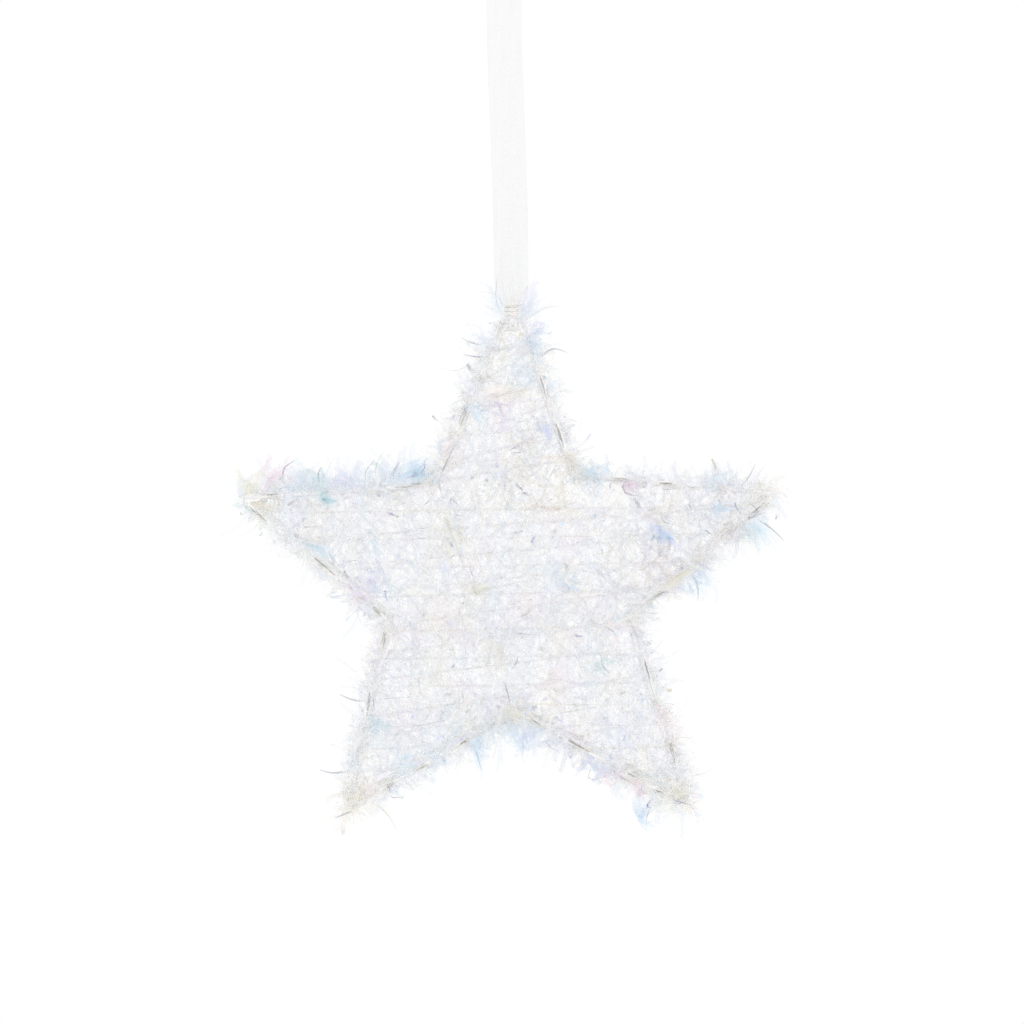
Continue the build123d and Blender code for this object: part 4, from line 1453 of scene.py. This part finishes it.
@dataclass(frozen=True)
class Tinsel:
    """The film strips, one piece for each band. Densities are strips for each metre.

    Attributes:
        wide_density: along a run whose next run is far away.
        end_density: along a run round an edge.
        over_density: over the wires of an edge.
        side_density: across the star's side at an edge.
        face_fan: how far strips spread over a face, in radians from the way outwards.
        lying_from: the least such angle of a strip that lies down.
        wrapped_share: the share of strips that lie along their own thread.
        tangled_share: how many bits are caught in the film, as a share of its strips.
        shown_reach: how far from its root a strip's colours are picked.
        opening: how far from a bare stretch of wire the film is taken out.
        tips: how many short strips bunch at each tip.
        thinned: bands with a thinner film, as a share of the strips.
        swing_reach: how far from the top cross wire the room for the ribbon's swing reaches.
        swing_foot: how far it reaches round the wire itself.
        swing_fall: how far it reaches below the wire.
        swing_depth: how deep it is, each way from the star's middle.
    """

    plan: StarPlan
    colours: FilmColours = field(default_factory=FilmColours)
    face_density: float = 3050.0
    wide_density: float = 4200.0
    end_density: float = 1200.0
    over_density: float = 3200.0
    side_density: float = 3600.0
    face_fan: float = 1.75
    end_fan: float = 1.5
    lying_from: float = 1.1
    lying_share: float = 0.5
    wrapped_share: float = 0.2
    tangled_share: float = 0.6
    creamy_share: float = 0.7
    over_cover: float = 0.40
    fringe_cover: float = 0.12
    tip_cover: float = 0.05
    side_cover: float = 0.65
    shown_reach: float = 0.003
    opening: float = 0.0010
    face_cut: StripCut = StripCut((0.0060, 0.0120), (0.0006, 0.0015), 1.9, 2.4)
    wide_cut: StripCut = StripCut((0.0080, 0.0145), (0.0006, 0.0015), 1.6, 2.4)
    end_cut: StripCut = StripCut((0.0030, 0.0065), (0.0007, 0.0016), 2.4, 1.4, 0.4, 0.9)
    over_cut: StripCut = StripCut((0.0030, 0.0070), (0.0007, 0.0015), 2.0)
    side_cut: StripCut = StripCut((0.0050, 0.0110), (0.0007, 0.0016), 1.6, 2.0, 0.3, 1.0)
    fringe_cut: StripCut = StripCut((0.0040, 0.0095), (0.0008, 0.0018), 3.2, 1.8, 0.1, 1.5)
    tall_cut: StripCut = StripCut((0.0055, 0.0130), (0.0008, 0.0020), 3.2, 1.8, 0.1, 1.5)
    tangled_cut: StripCut = StripCut((0.0030, 0.0070), (0.0005, 0.0014), 2.4, 2.0, 0.2, 0.4)
    tip_cut: StripCut = StripCut((0.0025, 0.0060), (0.0005, 0.0011), 2.4, 2.0, 0.4, 0.8)
    edges: tuple[EdgeFilm, ...] = (
        EdgeFilm(("top_left", "upper_left_notch"), -1, Band.TOP_ARM, 1000, ((0.50, 0.64),)),
        EdgeFilm(("top_right", "upper_right_notch"), 1, Band.TOP_ARM, 1000, ((0.35, 0.50), (0.66, 0.82))),
        EdgeFilm(("left_tip", "upper_left_notch"), 1, Band.SIDE_ARMS, 4700,
                 ((0.14, 0.21), (0.42, 0.46), (0.80, 0.93)), tall=True),
        EdgeFilm(("left_tip", "lower_left_notch"), -1, Band.SIDE_ARMS, 1300,
                 ((0.07, 0.19), (0.50, 0.64), (0.90, 0.96))),
        EdgeFilm(("right_tip", "upper_right_notch"), -1, Band.SIDE_ARMS, 1500, ((0.52, 0.58), (0.72, 0.79))),
        EdgeFilm(("right_tip", "lower_right_notch"), 1, Band.SIDE_ARMS, 1500, ((0.08, 0.18), (0.78, 0.84))),
        EdgeFilm(("lower_left_notch", "lower_left_tip"), -1, Band.LEFT_LEG, 700,
                 ((0.07, 0.13), (0.38, 0.50))),
        EdgeFilm(("bottom_notch", "lower_left_tip"), 1, Band.LEFT_LEG, 1900,
                 ((0.29, 0.34), (0.52, 0.60), (0.71, 0.78))),
        EdgeFilm(("bottom_notch", "lower_right_tip"), -1, Band.RIGHT_LEG, 2500,
                 ((0.06, 0.14), (0.30, 0.48), (0.64, 0.69), (0.80, 0.85)), tall=True),
        EdgeFilm(("lower_right_notch", "lower_right_tip"), 1, Band.RIGHT_LEG, 1100,
                 ((0.22, 0.34), (0.66, 0.72))),
    )
    tips: dict[Band, tuple[tuple[str, int], ...]] = field(default_factory=lambda: {
        Band.TOP_ARM: (("top_left", 60), ("top_right", 60)),
        Band.SIDE_ARMS: (("left_tip", 90), ("right_tip", 60)),
        Band.LEFT_LEG: (("lower_left_tip", 100),),
        Band.RIGHT_LEG: (("lower_right_tip", 190),),
    })
    thinned: dict[Band, float] = field(default_factory=lambda: {
        Band.TOP_ARM: 0.9, Band.SIDE_ARMS: 0.96, Band.WAIST: 0.93, Band.LEFT_LEG: 0.74})
    swing_reach: float = 0.0130
    swing_foot: float = 0.0052
    swing_fall: float = 0.00364
    swing_depth: float = 0.0028

    def anchors(self) -> Array:
        """Places on the front wires and threads, where film can start.

        Returns:
            The places, one a row.
        """
        lines = [(a, b, self.plan.half_depth) for a, b in self.plan.sides()]
        lines += [(a, b, self.plan.core_layer) for band in Band for a, b in self.plan.rows(band)]
        share = np.linspace(0, 1, 90)[:, None]
        ends = [(at_depth(a, -depth), at_depth(b, -depth)) for a, b, depth in lines]
        return np.concatenate([start + (end - start) * share for start, end in ends])

    def along_run(self, pile: StripPile, run: Run, thinned: float) -> None:
        """Adds the strips of one run of the winding.

        Args:
            pile: the pile that takes them.
            run: the run.
            thinned: how many of the usual strips it carries, as a share.
        """
        lean_spread, wrapped_lean, wrapped_fan = 0.75, 5, 0.5
        density, cut, fan = self.end_density, self.end_cut, self.end_fan
        if run.over_face:
            density, cut, fan = self.face_density, self.face_cut, self.face_fan
        if run.wide:
            density, cut = self.wide_density, self.wide_cut
        count = round(run.length * (density * thinned))
        share = pile.spaced(count)
        axis = unit(run.end - run.start)
        aside = np.cross(axis, run.outward)
        lying = pile.between(self.lying_from, fan, count) * pile.sign(count)
        angle = np.where(pile.rng.random(count) < self.lying_share, lying, pile.between(-fan, fan, count))
        lean = pile.rng.normal(0, lean_spread, count)
        wrapped = pile.rng.random(count) < self.wrapped_share
        lean[wrapped] = lean[wrapped] * wrapped_lean
        angle[wrapped] = angle[wrapped] * wrapped_fan
        aims = run.outward * np.cos(angle)[:, None] + aside * np.sin(angle)[:, None] + axis * lean[:, None]
        roots = run.start + (run.end - run.start) * share + unit(aims) * self.plan.core_radius * 0.5
        shown = roots + unit(aims) * self.shown_reach
        pile.add(roots, aims, cut, *self.colours.pick(pile, shown, self.plan))

    def along_edge(self, pile: StripPile, film: EdgeFilm, over: bool) -> None:
        """Adds film caught between the wires of an edge.

        Args:
            pile: the pile that takes it.
            film: the edge's film.
            over: whether the film lies over the wires or stands out from the star.
        """
        fan, splay, rough = 1.5 if over else 0.8, 0.3, 0.2
        start, end = self.plan.ends(film.edge)
        half_depth = self.plan.half_depth
        count = round(float(np.linalg.norm(end - start)) * (self.over_density if over else film.fringe))
        share = pile.spaced(count)
        wire_face = 1 + self.plan.wire_radius / half_depth
        depth = (np.full(count, wire_face) if over else pile.between(0.2, 1.0, count)) * half_depth
        depth = depth * pile.sign(count)
        angle = pile.rng.normal(0, fan, count)
        outward = self.plan.square(film.edge, film.side)
        aims = outward * np.cos(angle)[:, None] + unit(end - start) * np.sin(angle)[:, None]
        aims[:, 1] += depth / half_depth * splay + pile.rng.normal(0, rough, count)
        roots = start + (end - start) * share
        roots[:, 1] = depth
        light, ends, covers = self.colours.pick(pile, roots + unit(aims) * self.shown_reach, self.plan)
        if over:
            cut, covers = self.over_cut, covers + self.over_cover
            light, ends = 0.7 + 0.3 * light, 0.5 + 0.5 * ends
        else:
            cut = self.tall_cut if film.tall else self.fringe_cut
            covers, ends = (covers + self.fringe_cover) * (1.0, 0.75), light * 0.45 + ends * 0.55
            light, ends = light * ICE.light, ends * ICE.light
        pile.add(roots, aims, cut, light, ends, covers)

    def across_side(self, pile: StripPile, film: EdgeFilm) -> None:
        """Adds film that lies across a side of the star, from both wires of an edge towards each other.

        Args:
            pile: the pile that takes it.
            film: the edge's film.
        """
        start, end = self.plan.ends(film.edge)
        count = round(float(np.linalg.norm(end - start)) * self.side_density)
        share = pile.spaced(count)
        outward = self.plan.square(film.edge, film.side)
        layer = pile.sign(count)
        roots = start + (end - start) * share
        roots[:, 1] = layer * self.plan.half_depth * pile.between(0.3, 1.0, count)
        aims = unit(end - start) * pile.rng.normal(0, 0.9, count)[:, None]
        aims = aims + outward * pile.between(0.0, 0.3, count)[:, None]
        aims[:, 1] -= layer
        light, ends, covers = self.colours.pick(pile, roots, self.plan)
        light, ends = 0.4 + 0.6 * light, 0.4 + 0.6 * ends
        pile.add(roots, aims, self.side_cut, light, ends, covers * self.side_cover, faced=tuple(outward))

    def tangle(self, pile: StripPile) -> None:
        """Adds bits of film caught in the strips that the pile already holds, most where it is thin.

        Args:
            pile: the pile.
        """
        cell_size, least_crowd, evenness = 0.0025, 0.2, 1.5
        lines = np.concatenate([batch[0] for batch in pile.strips])
        count = round(len(lines) * self.tangled_share)
        places = lines[:, 2:].reshape(-1, 3)
        places = places[self.plan.inside(places)]
        cells = np.round(places / (cell_size, 1.0, cell_size)).astype(int)
        cells[:, 1] = places[:, 1] > 0
        _, cell, crowd = np.unique(cells, axis=0, return_inverse=True, return_counts=True)
        crowd = crowd[cell.ravel()].astype(float)
        room = 1 / np.maximum(crowd, least_crowd * crowd.mean()) ** evenness
        roots = places[pile.rng.choice(len(places), count, p=room / room.sum())]
        aims = pile.rng.normal(size=(count, 3)) * (1, 0.35, 1)
        pile.add(roots, aims, self.tangled_cut, *self.colours.pick(pile, roots, self.plan))

    def tip_bunch(self, pile: StripPile, tip: str, count: int) -> None:
        """Adds the short creamy strips that bunch at a tip.

        Args:
            pile: the pile that takes them.
            tip: the tip's corner.
            count: how many strips.
        """
        nearest, farthest, deepest, dark = 0.0005, 0.0100, 1.1, 0.05
        corner = self.plan.corners()[tip]
        inward = unit(self.plan.spot(0, 0) - corner)
        roots = corner + inward * pile.between(nearest, farthest, count)[:, None]
        roots[:, 1] = pile.between(-deepest, deepest, count) * self.plan.half_depth
        aims = pile.rng.normal(size=(count, 3)) - inward * 0.5
        light, ends, covers = self.colours.pick(pile, roots, self.plan)
        cream = np.array([SAND.light, OLIVE.light])
        creamy = (pile.rng.random(count) < self.creamy_share)[:, None]
        light = np.where(creamy, cream[pile.rng.choice(2, count, p=[1 - dark, dark])], light)
        pile.add(roots, aims, self.tip_cut, light, np.where(creamy, light, ends), covers + self.tip_cover)

    def part(self, pile: StripPile, band: Band) -> None:
        """Opens the film where stretches of the front wire show, and lays thin dark strips of painted shade
        along them for the wire's shaded sides.

        Args:
            pile: the pile.
            band: the band that the pile's film belongs to.
        """
        face = -self.plan.half_depth - self.plan.wire_radius
        for film in self.edges:
            start, end = self.plan.ends(film.edge, face)
            for low, high in film.bare:
                stretch = start + (end - start) * low, start + (end - start) * high
                pile.part(*stretch, self.opening)
                if film.band is band:
                    pile.thread(*stretch)

    def in_swing(self, line: Array) -> Array:
        """Whether points lie where the tied neck of the ribbon swings over the top cross wire."""
        up = line[..., 2] - self.plan.top_height
        apart = np.hypot(line[..., 0], up)
        above = (up > 0) | (apart < self.swing_foot) & (up > -self.swing_fall)
        return (apart < self.swing_reach) & above & (np.abs(line[..., 1]) < self.swing_depth)

    def build(self, finish: PearlFilm) -> None:
        """Makes one piece for each band in place of its packed strips.

        Args:
            finish: the film's finish.
        """
        material = finish.material()
        anchors = self.anchors()
        for seed, band in enumerate(Band, start=11):
            pile = StripPile(np.random.default_rng(seed))
            for run in self.plan.runs(band):
                self.along_run(pile, run, self.thinned.get(band, 1.0))
            self.tangle(pile)
            for film in self.edges:
                if film.band is band:
                    self.along_edge(pile, film, over=False)
                    self.along_edge(pile, film, over=True)
                    self.across_side(pile, film)
            for tip, count in self.tips.get(band, ()):
                self.tip_bunch(pile, tip, count)
            self.part(pile, band)
            pile.take_out(self.in_swing)
            for strand in STRANDS:
                if strand.band is band:
                    pile.lay(strand, self.plan, anchors)
            piece = pile.piece(f"{band.label}_film_strips")
            piece.data.materials.append(material)
            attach(piece, "star")
            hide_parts(f"{band.label}_tinsel")
            log.info("%s: %d strips", piece.name, pile.count)


def grid_places(*numbers: Array) -> Array:
    """Places on a grid, from numbers that each hold for a row, a column or a single spot."""
    return np.stack(np.broadcast_arrays(*numbers), -1)


@dataclass(frozen=True)
class Ribbon:
    """The sheer ribbon: a hanging loop, its two gathers and the bunch round the top cross wire.

    Attributes:
        gather_tuck: how far the gathers run on under the tie.
        gather_length: the length of ribbon in a gather.
        gather_half_gap: from the middle plane to each layer where the gathers start.
        neck_half_gap: the same at the tie.
        narrowing: how much of its width the loop loses above the gathers.
        narrowing_reach: how far above the gathers it starts to narrow.
        neck_fold_depth: how much deeper the folds are at the tie.
        fold_shift: how far one layer's folds lie beside the other's, in radians.
        waves: the loop's soft waves, each with its depth and its turns across and up.
        drift_reach: how far to the left the top of the loop hangs.
        edge_from: where the selvedges start, as a share of half the width.
        wire_reach: from the top cross wire's middle to the middle of the bunch.
        bunch_length: the length of ribbon in the bunch.
    """

    width: float = 0.0102
    hook_radius: float = 0.0036
    hook_top: float = 0.0
    twist_top: float = -0.012
    gather_top: float = -0.093
    gather_foot: float = -0.0994
    gather_tuck: float = 0.0008
    gather_length: float = 0.0075
    gather_half_gap: float = 0.00075
    neck_half_gap: float = 0.0008
    neck_width: float = 0.0052
    gather_power: float = 1.4
    narrowing: float = 0.03
    narrowing_reach: float = 0.02
    step: float = 0.0007
    columns: int = 33
    gather_rows: int = 22
    folds: int = 4
    fold_depth: float = 0.00035
    neck_fold_depth: float = 0.0006
    fold_shift: float = 0.6
    waves: tuple[tuple[float, float, float], ...] = ((0.00022, 17, 160), (0.00016, 31, -95))
    drift_reach: float = 0.0026
    drift_power: float = 0.7
    sway_reach: float = 0.00025
    sway_turns: float = 70.0
    edge_from: float = 0.93
    edge_reach: float = 0.07
    wire_height: float = -0.105
    wire_reach: float = 0.0014
    bunch_half_thickness: float = 0.00042
    bunch_half_depth: float = 0.00115
    bunch_length: float = 0.016
    ridges: int = 9
    ridge_height: float = 0.14

    def cloth(self, name: str, grid: Array, flat: Array, material: bpy.types.Material) -> bpy.types.Object:
        """A stretch of ribbon from a grid of places.

        Args:
            name: the piece's name.
            grid: places, by row along and column across.
            flat: for each, its place on the flat ribbon, across and along.
            material: the ribbon's material.

        Returns:
            The object.
        """
        piece = new_piece(name, grid, grid_faces(*grid.shape[:2]))
        share = np.abs(flat[..., 0]) / (self.width / 2)
        edge = np.clip((share - self.edge_from) / self.edge_reach, 0, 1)
        keep_values(piece, "cloth_place", "FLOAT_VECTOR", np.concatenate([flat, edge[..., None]], -1))
        longest = max(float(np.ptp(flat[..., 1])), self.width)
        keep_map(piece, (flat - flat.reshape(-1, 2).min(0)) / longest)
        piece.data.materials.append(material)
        return piece

    def side_line(self) -> tuple[Array, Array]:
        """The loop seen from the side: up the front, over the hook and down the rear.

        Returns:
            The depth and height of each point, and how far along the ribbon it lies.
        """
        foot = np.array([self.gather_half_gap, self.gather_top])
        middle = np.array([0.0, self.hook_top - self.hook_radius])
        lean = math.atan2(foot[0], middle[1] - foot[1])
        touch = lean + math.acos(self.hook_radius / np.linalg.norm(foot - middle))
        turn = np.linspace(touch, FULL_TURN - touch, 40)
        arc = middle + self.hook_radius * np.stack([-np.sin(turn), -np.cos(turn)], 1)
        line = np.concatenate([[foot * (-1, 1)], arc, [foot]])
        travelled = distances(line)
        wanted = np.linspace(0, travelled[-1], round(travelled[-1] / self.step))
        return np.stack([np.interp(wanted, travelled, line[:, axis]) for axis in range(2)], 1), wanted

    def drift(self, height: Array) -> Array:
        """How far the ribbon's middle hangs to the left at a height."""
        up = np.clip((height - self.gather_foot) / -self.gather_foot, 0, 1)
        return -self.drift_reach * up**self.drift_power

    def sway(self, height: Array) -> Array:
        """How far the ribbon sways sideways at a height."""
        return self.sway_reach * np.sin(height * self.sway_turns)

    def loop(self, material: bpy.types.Material) -> bpy.types.Object:
        """The hanging loop, two sheer layers with soft lengthwise waves.

        Args:
            material: the ribbon's material.

        Returns:
            The object.
        """
        line, travelled = self.side_line()
        across = np.linspace(-0.5, 0.5, self.columns)[None, :]
        height, depth = line[:, 1][:, None], line[:, 0][:, None]
        near_foot = np.clip(1 - (height - self.gather_top) / self.narrowing_reach, 0, 1) ** 2
        narrowed = self.width * (1 - self.narrowing * near_foot)
        wave = sum(deep * np.sin(across * aside + height * up) for deep, aside, up in self.waves)
        pleat = self.fold_depth * near_foot * np.cos(across * FULL_TURN * self.folds)
        places = grid_places(
            narrowed * across + self.drift(height) + self.sway(height), depth + wave + pleat, height)
        flat = grid_places(self.width * across, travelled[:, None])
        piece = self.cloth("ribbon_loop_cloth", places, flat, material)
        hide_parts("ribbon_loop")
        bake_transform(piece)
        return piece

    def gather(self, side: float, material: bpy.types.Material) -> bpy.types.Object:
        """One layer's gather, folding together down to the tie.

        Args:
            side: FRONT or REAR.
            material: the ribbon's material.

        Returns:
            The object.
        """
        share = np.linspace(0, 1, self.gather_rows)[:, None]
        across = np.linspace(-0.5, 0.5, 2 * self.columns - 1)[None, :]
        height = self.gather_top + (self.gather_foot - self.gather_tuck - self.gather_top) * share
        ease = share**self.gather_power
        width = self.width * (1 - self.narrowing) * (1 - ease) + self.neck_width * ease
        deep = self.fold_depth + self.neck_fold_depth * ease
        fold = deep * np.cos(across * FULL_TURN * self.folds + side * self.fold_shift)
        places = grid_places(
            width * across + self.drift(height) + self.sway(height) * (1 - ease),
            side * (self.gather_half_gap * (1 - ease) + self.neck_half_gap * ease) + fold,
            height,
        )
        flat = grid_places(self.width * across, self.gather_length * share)
        layer = "front" if side == FRONT else "rear"
        piece = self.cloth(f"{layer}_gather_cloth", places, flat, material)
        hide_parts(f"{layer}_ribbon_gather")
        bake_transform(piece)
        return piece

    def bunch(self, material: bpy.types.Material) -> bpy.types.Object:
        """The bunched ribbon that passes under the top cross wire and back up to the tie.

        Args:
            material: the ribbon's material.

        Returns:
            The object.
        """
        reach = self.wire_reach
        fall = np.linspace(self.gather_foot - self.wire_height, 0, 12)
        around = np.linspace(0, math.pi, 18)[1:-1]
        path = np.concatenate([
            grid_places(-reach, fall),
            np.stack([-np.cos(around) * reach, -np.sin(around) * reach], 1),
            grid_places(reach, fall[::-1]),
        ])
        along = unit(np.gradient(path, axis=0))
        turn = np.linspace(0, FULL_TURN, 48, endpoint=False)[None, :]
        ridge = 1 + self.ridge_height * np.cos(turn * self.ridges)
        out = np.cos(turn) * ridge * self.bunch_half_thickness
        depth = np.sin(turn) * ridge * self.bunch_half_depth
        places = grid_places(
            path[:, :1] + along[:, 1:] * out, depth, self.wire_height + path[:, 1:] - along[:, :1] * out)
        piece = new_piece("ribbon_eye_bunch", places, grid_faces(len(path), turn.size, True))
        run = np.linspace(0, self.bunch_length, len(path))[:, None]
        flat = grid_places((turn / FULL_TURN - 0.5) * self.width, run, 0.0)
        keep_values(piece, "cloth_place", "FLOAT_VECTOR", flat)
        piece.data.materials.append(material)
        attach(piece, "eye")
        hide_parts("ribbon_eye")
        return piece

    def build(self, finish: SheerOrganza) -> None:
        """Makes the ribbon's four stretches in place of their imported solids.

        Args:
            finish: the ribbon's finish.
        """
        material = finish.material()
        loop = self.loop(material)
        gathers = [self.gather(side, material) for side in (FRONT, REAR)]
        bunch = self.bunch(material)


@dataclass(frozen=True)
class NeckTie:
    """The twisted film thread wound round the ribbon's neck, in turns with flattened sides."""

    half_width: float = 0.0024
    half_depth: float = 0.00165
    squareness: float = 0.62
    start_height: float = -0.10325
    rise: float = 0.00125
    turns: float = 3.5
    points: int = 420
    ply_radius: float = 0.0002
    ply_pitch: float = 0.0016
    sides: int = 7
    plies: int = 3

    def build(self, finish: TieFilm) -> None:
        """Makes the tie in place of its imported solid.

        Args:
            finish: the tie's finish.
        """
        angle = np.linspace(0, FULL_TURN * self.turns, self.points)
        across, depth = np.cos(angle), np.sin(angle)
        line = np.stack([
            -np.sign(across) * np.abs(across) ** self.squareness * self.half_width,
            -np.sign(depth) * np.abs(depth) ** self.squareness * self.half_depth,
            self.start_height + self.rise * angle / FULL_TURN,
        ], 1)
        plies = twisted_plies(line, self.ply_radius, self.ply_pitch, self.sides, self.plies)
        piece = new_piece("ribbon_tie_thread", *plies)
        piece.data.materials.append(finish.material())
        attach(piece, "eye")
        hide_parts("ribbon_tie")
        log.info("tie: %.1f turns", self.turns)


class WireFrame:
    """The bent outlines and cross wires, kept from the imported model."""

    def build(self, finish: PaintedWire) -> None:
        """Gives every wire its paint.

        Args:
            finish: the wires' finish.
        """
        material = finish.material()
        for name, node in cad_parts.items():
            if name.endswith(("_outline", "_cross_wire")):
                node.data.materials.clear()
                node.data.materials.append(material)
                log.info("painted %s", name)


@dataclass(frozen=True)
class Lamp:
    """A square soft lamp, its power in watts."""

    name: str
    place: tuple[float, float, float]
    power: float
    size: float = 0.9


@dataclass(frozen=True)
class Studio:
    """The white studio: floor, world light, two soft lamps and the camera.

    Attributes:
        view_width: the width of the picture at the star's front.
        view_height: the height of the picture's middle.
        backdrop: the strength of the white that the camera and gloss see.
        ambient: the strength of the world's light.
    """

    camera_distance: float = 0.5
    camera_across: float = -0.0003
    view_width: float = 0.2923
    view_height: float = -0.1594
    front_depth: float = -0.010
    floor_height: float = -0.75
    floor_reach: float = 1.35
    sensor_width: float = 36.0
    backdrop: float = 1.01
    ambient: float = 1.0
    lamps: tuple[Lamp, ...] = (
        Lamp("key_lamp", (-0.55, -0.95, 0.45), 1.8), Lamp("fill_lamp", (0.8, -0.7, -0.2), 0.7))

    def build(self) -> None:
        """Sets the stage, the lights and the camera."""
        self.camera()
        self.floor()
        self.world()
        for lamp in self.lamps:
            self.light(lamp)
        scene = bpy.context.scene
        scene.view_settings.view_transform = "Standard"
        scene.cycles.transparent_max_bounces = 40
        scene.cycles.max_bounces = 20
        scene.cycles.diffuse_bounces = 12
        log.info("studio set")

    def camera(self) -> None:
        """A camera level with the star, straight in front."""
        data = bpy.data.cameras.new("camera")
        data.sensor_width = self.sensor_width
        data.lens = self.sensor_width * self.camera_distance / self.view_width
        data.clip_start, data.clip_end = 0.01, 20.0
        camera = bpy.data.objects.new("camera", data)
        camera.location = (self.camera_across, self.front_depth - self.camera_distance, self.view_height)
        camera.rotation_euler = (math.pi / 2, 0.0, 0.0)
        bpy.context.scene.collection.objects.link(camera)
        bpy.context.scene.camera = camera

    def floor(self) -> None:
        """A wide white floor well under the hanging star."""
        ways = np.array([[-1, -1], [1, -1], [1, 1], [-1, 1]]) * self.floor_reach
        corners = grid_places(ways[:, 0], ways[:, 1], self.floor_height)
        floor = new_piece("floor", corners, np.array([[0, 1, 2, 3]]), smooth=False)
        material, canvas = new_material("studio_white")
        seen = canvas.out(canvas.node("ShaderNodeLightPath"), "Is Camera Ray")
        canvas.surface({
            "Base Color": opaque((0.95, 0.95, 0.95)),
            "Roughness": 0.9,
            "Emission Color": canvas.mixed(seen, (0, 0, 0, 1), (1, 1, 1, 1)),
            "Emission Strength": 0.25,
        })
        floor.data.materials.append(material)

    def world(self) -> None:
        """White all round for the camera and for gloss, and plain soft light for the rest."""
        world = bpy.data.worlds.new("studio")
        world.use_nodes = True
        bpy.context.scene.world = world
        canvas = Canvas(world.node_tree)
        path = canvas.node("ShaderNodeLightPath")
        seen = canvas.out(path, "Is Camera Ray") + canvas.out(path, "Is Glossy Ray")
        white = (seen + canvas.out(path, "Is Transmission Ray")).at_most(1.0)
        strength = self.ambient + (self.backdrop - self.ambient) * white
        light = canvas.node("ShaderNodeBackground", {}, {"Color": (1, 1, 1, 1), "Strength": strength})
        canvas.node("ShaderNodeOutputWorld", {}, {"Surface": canvas.out(light, 0)})

    def light(self, lamp: Lamp) -> None:
        """Stands a lamp in the studio, aimed at the star.

        Args:
            lamp: the lamp.
        """
        data = bpy.data.lights.new(lamp.name, "AREA")
        data.shape, data.size, data.energy = "SQUARE", lamp.size, lamp.power
        stood = bpy.data.objects.new(lamp.name, data)
        stood.location = lamp.place
        away = stood.location - Vector((0, 0, self.view_height))
        stood.rotation_euler = away.to_track_quat("Z", "Y").to_euler()
        bpy.context.scene.collection.objects.link(stood)


def main() -> None:
    """Builds the star's dress in order."""
    logging.basicConfig(level=logging.INFO, format="%(name)s: %(message)s")
    Studio().build()
    plan = StarPlan()
    WireFrame().build(PaintedWire())
    lead_thread = CoreThread("lead_thread", (0.99, 0.988, 0.96), (0.90, 0.89, 0.83), 0.10, 0.60)
    GarlandCores(plan).build(CoreThread(), lead_thread)
    Tinsel(plan).build(PearlFilm())
    Ribbon().build(SheerOrganza())
    NeckTie().build(TieFilm())


if __name__ == "__main__":
    main()
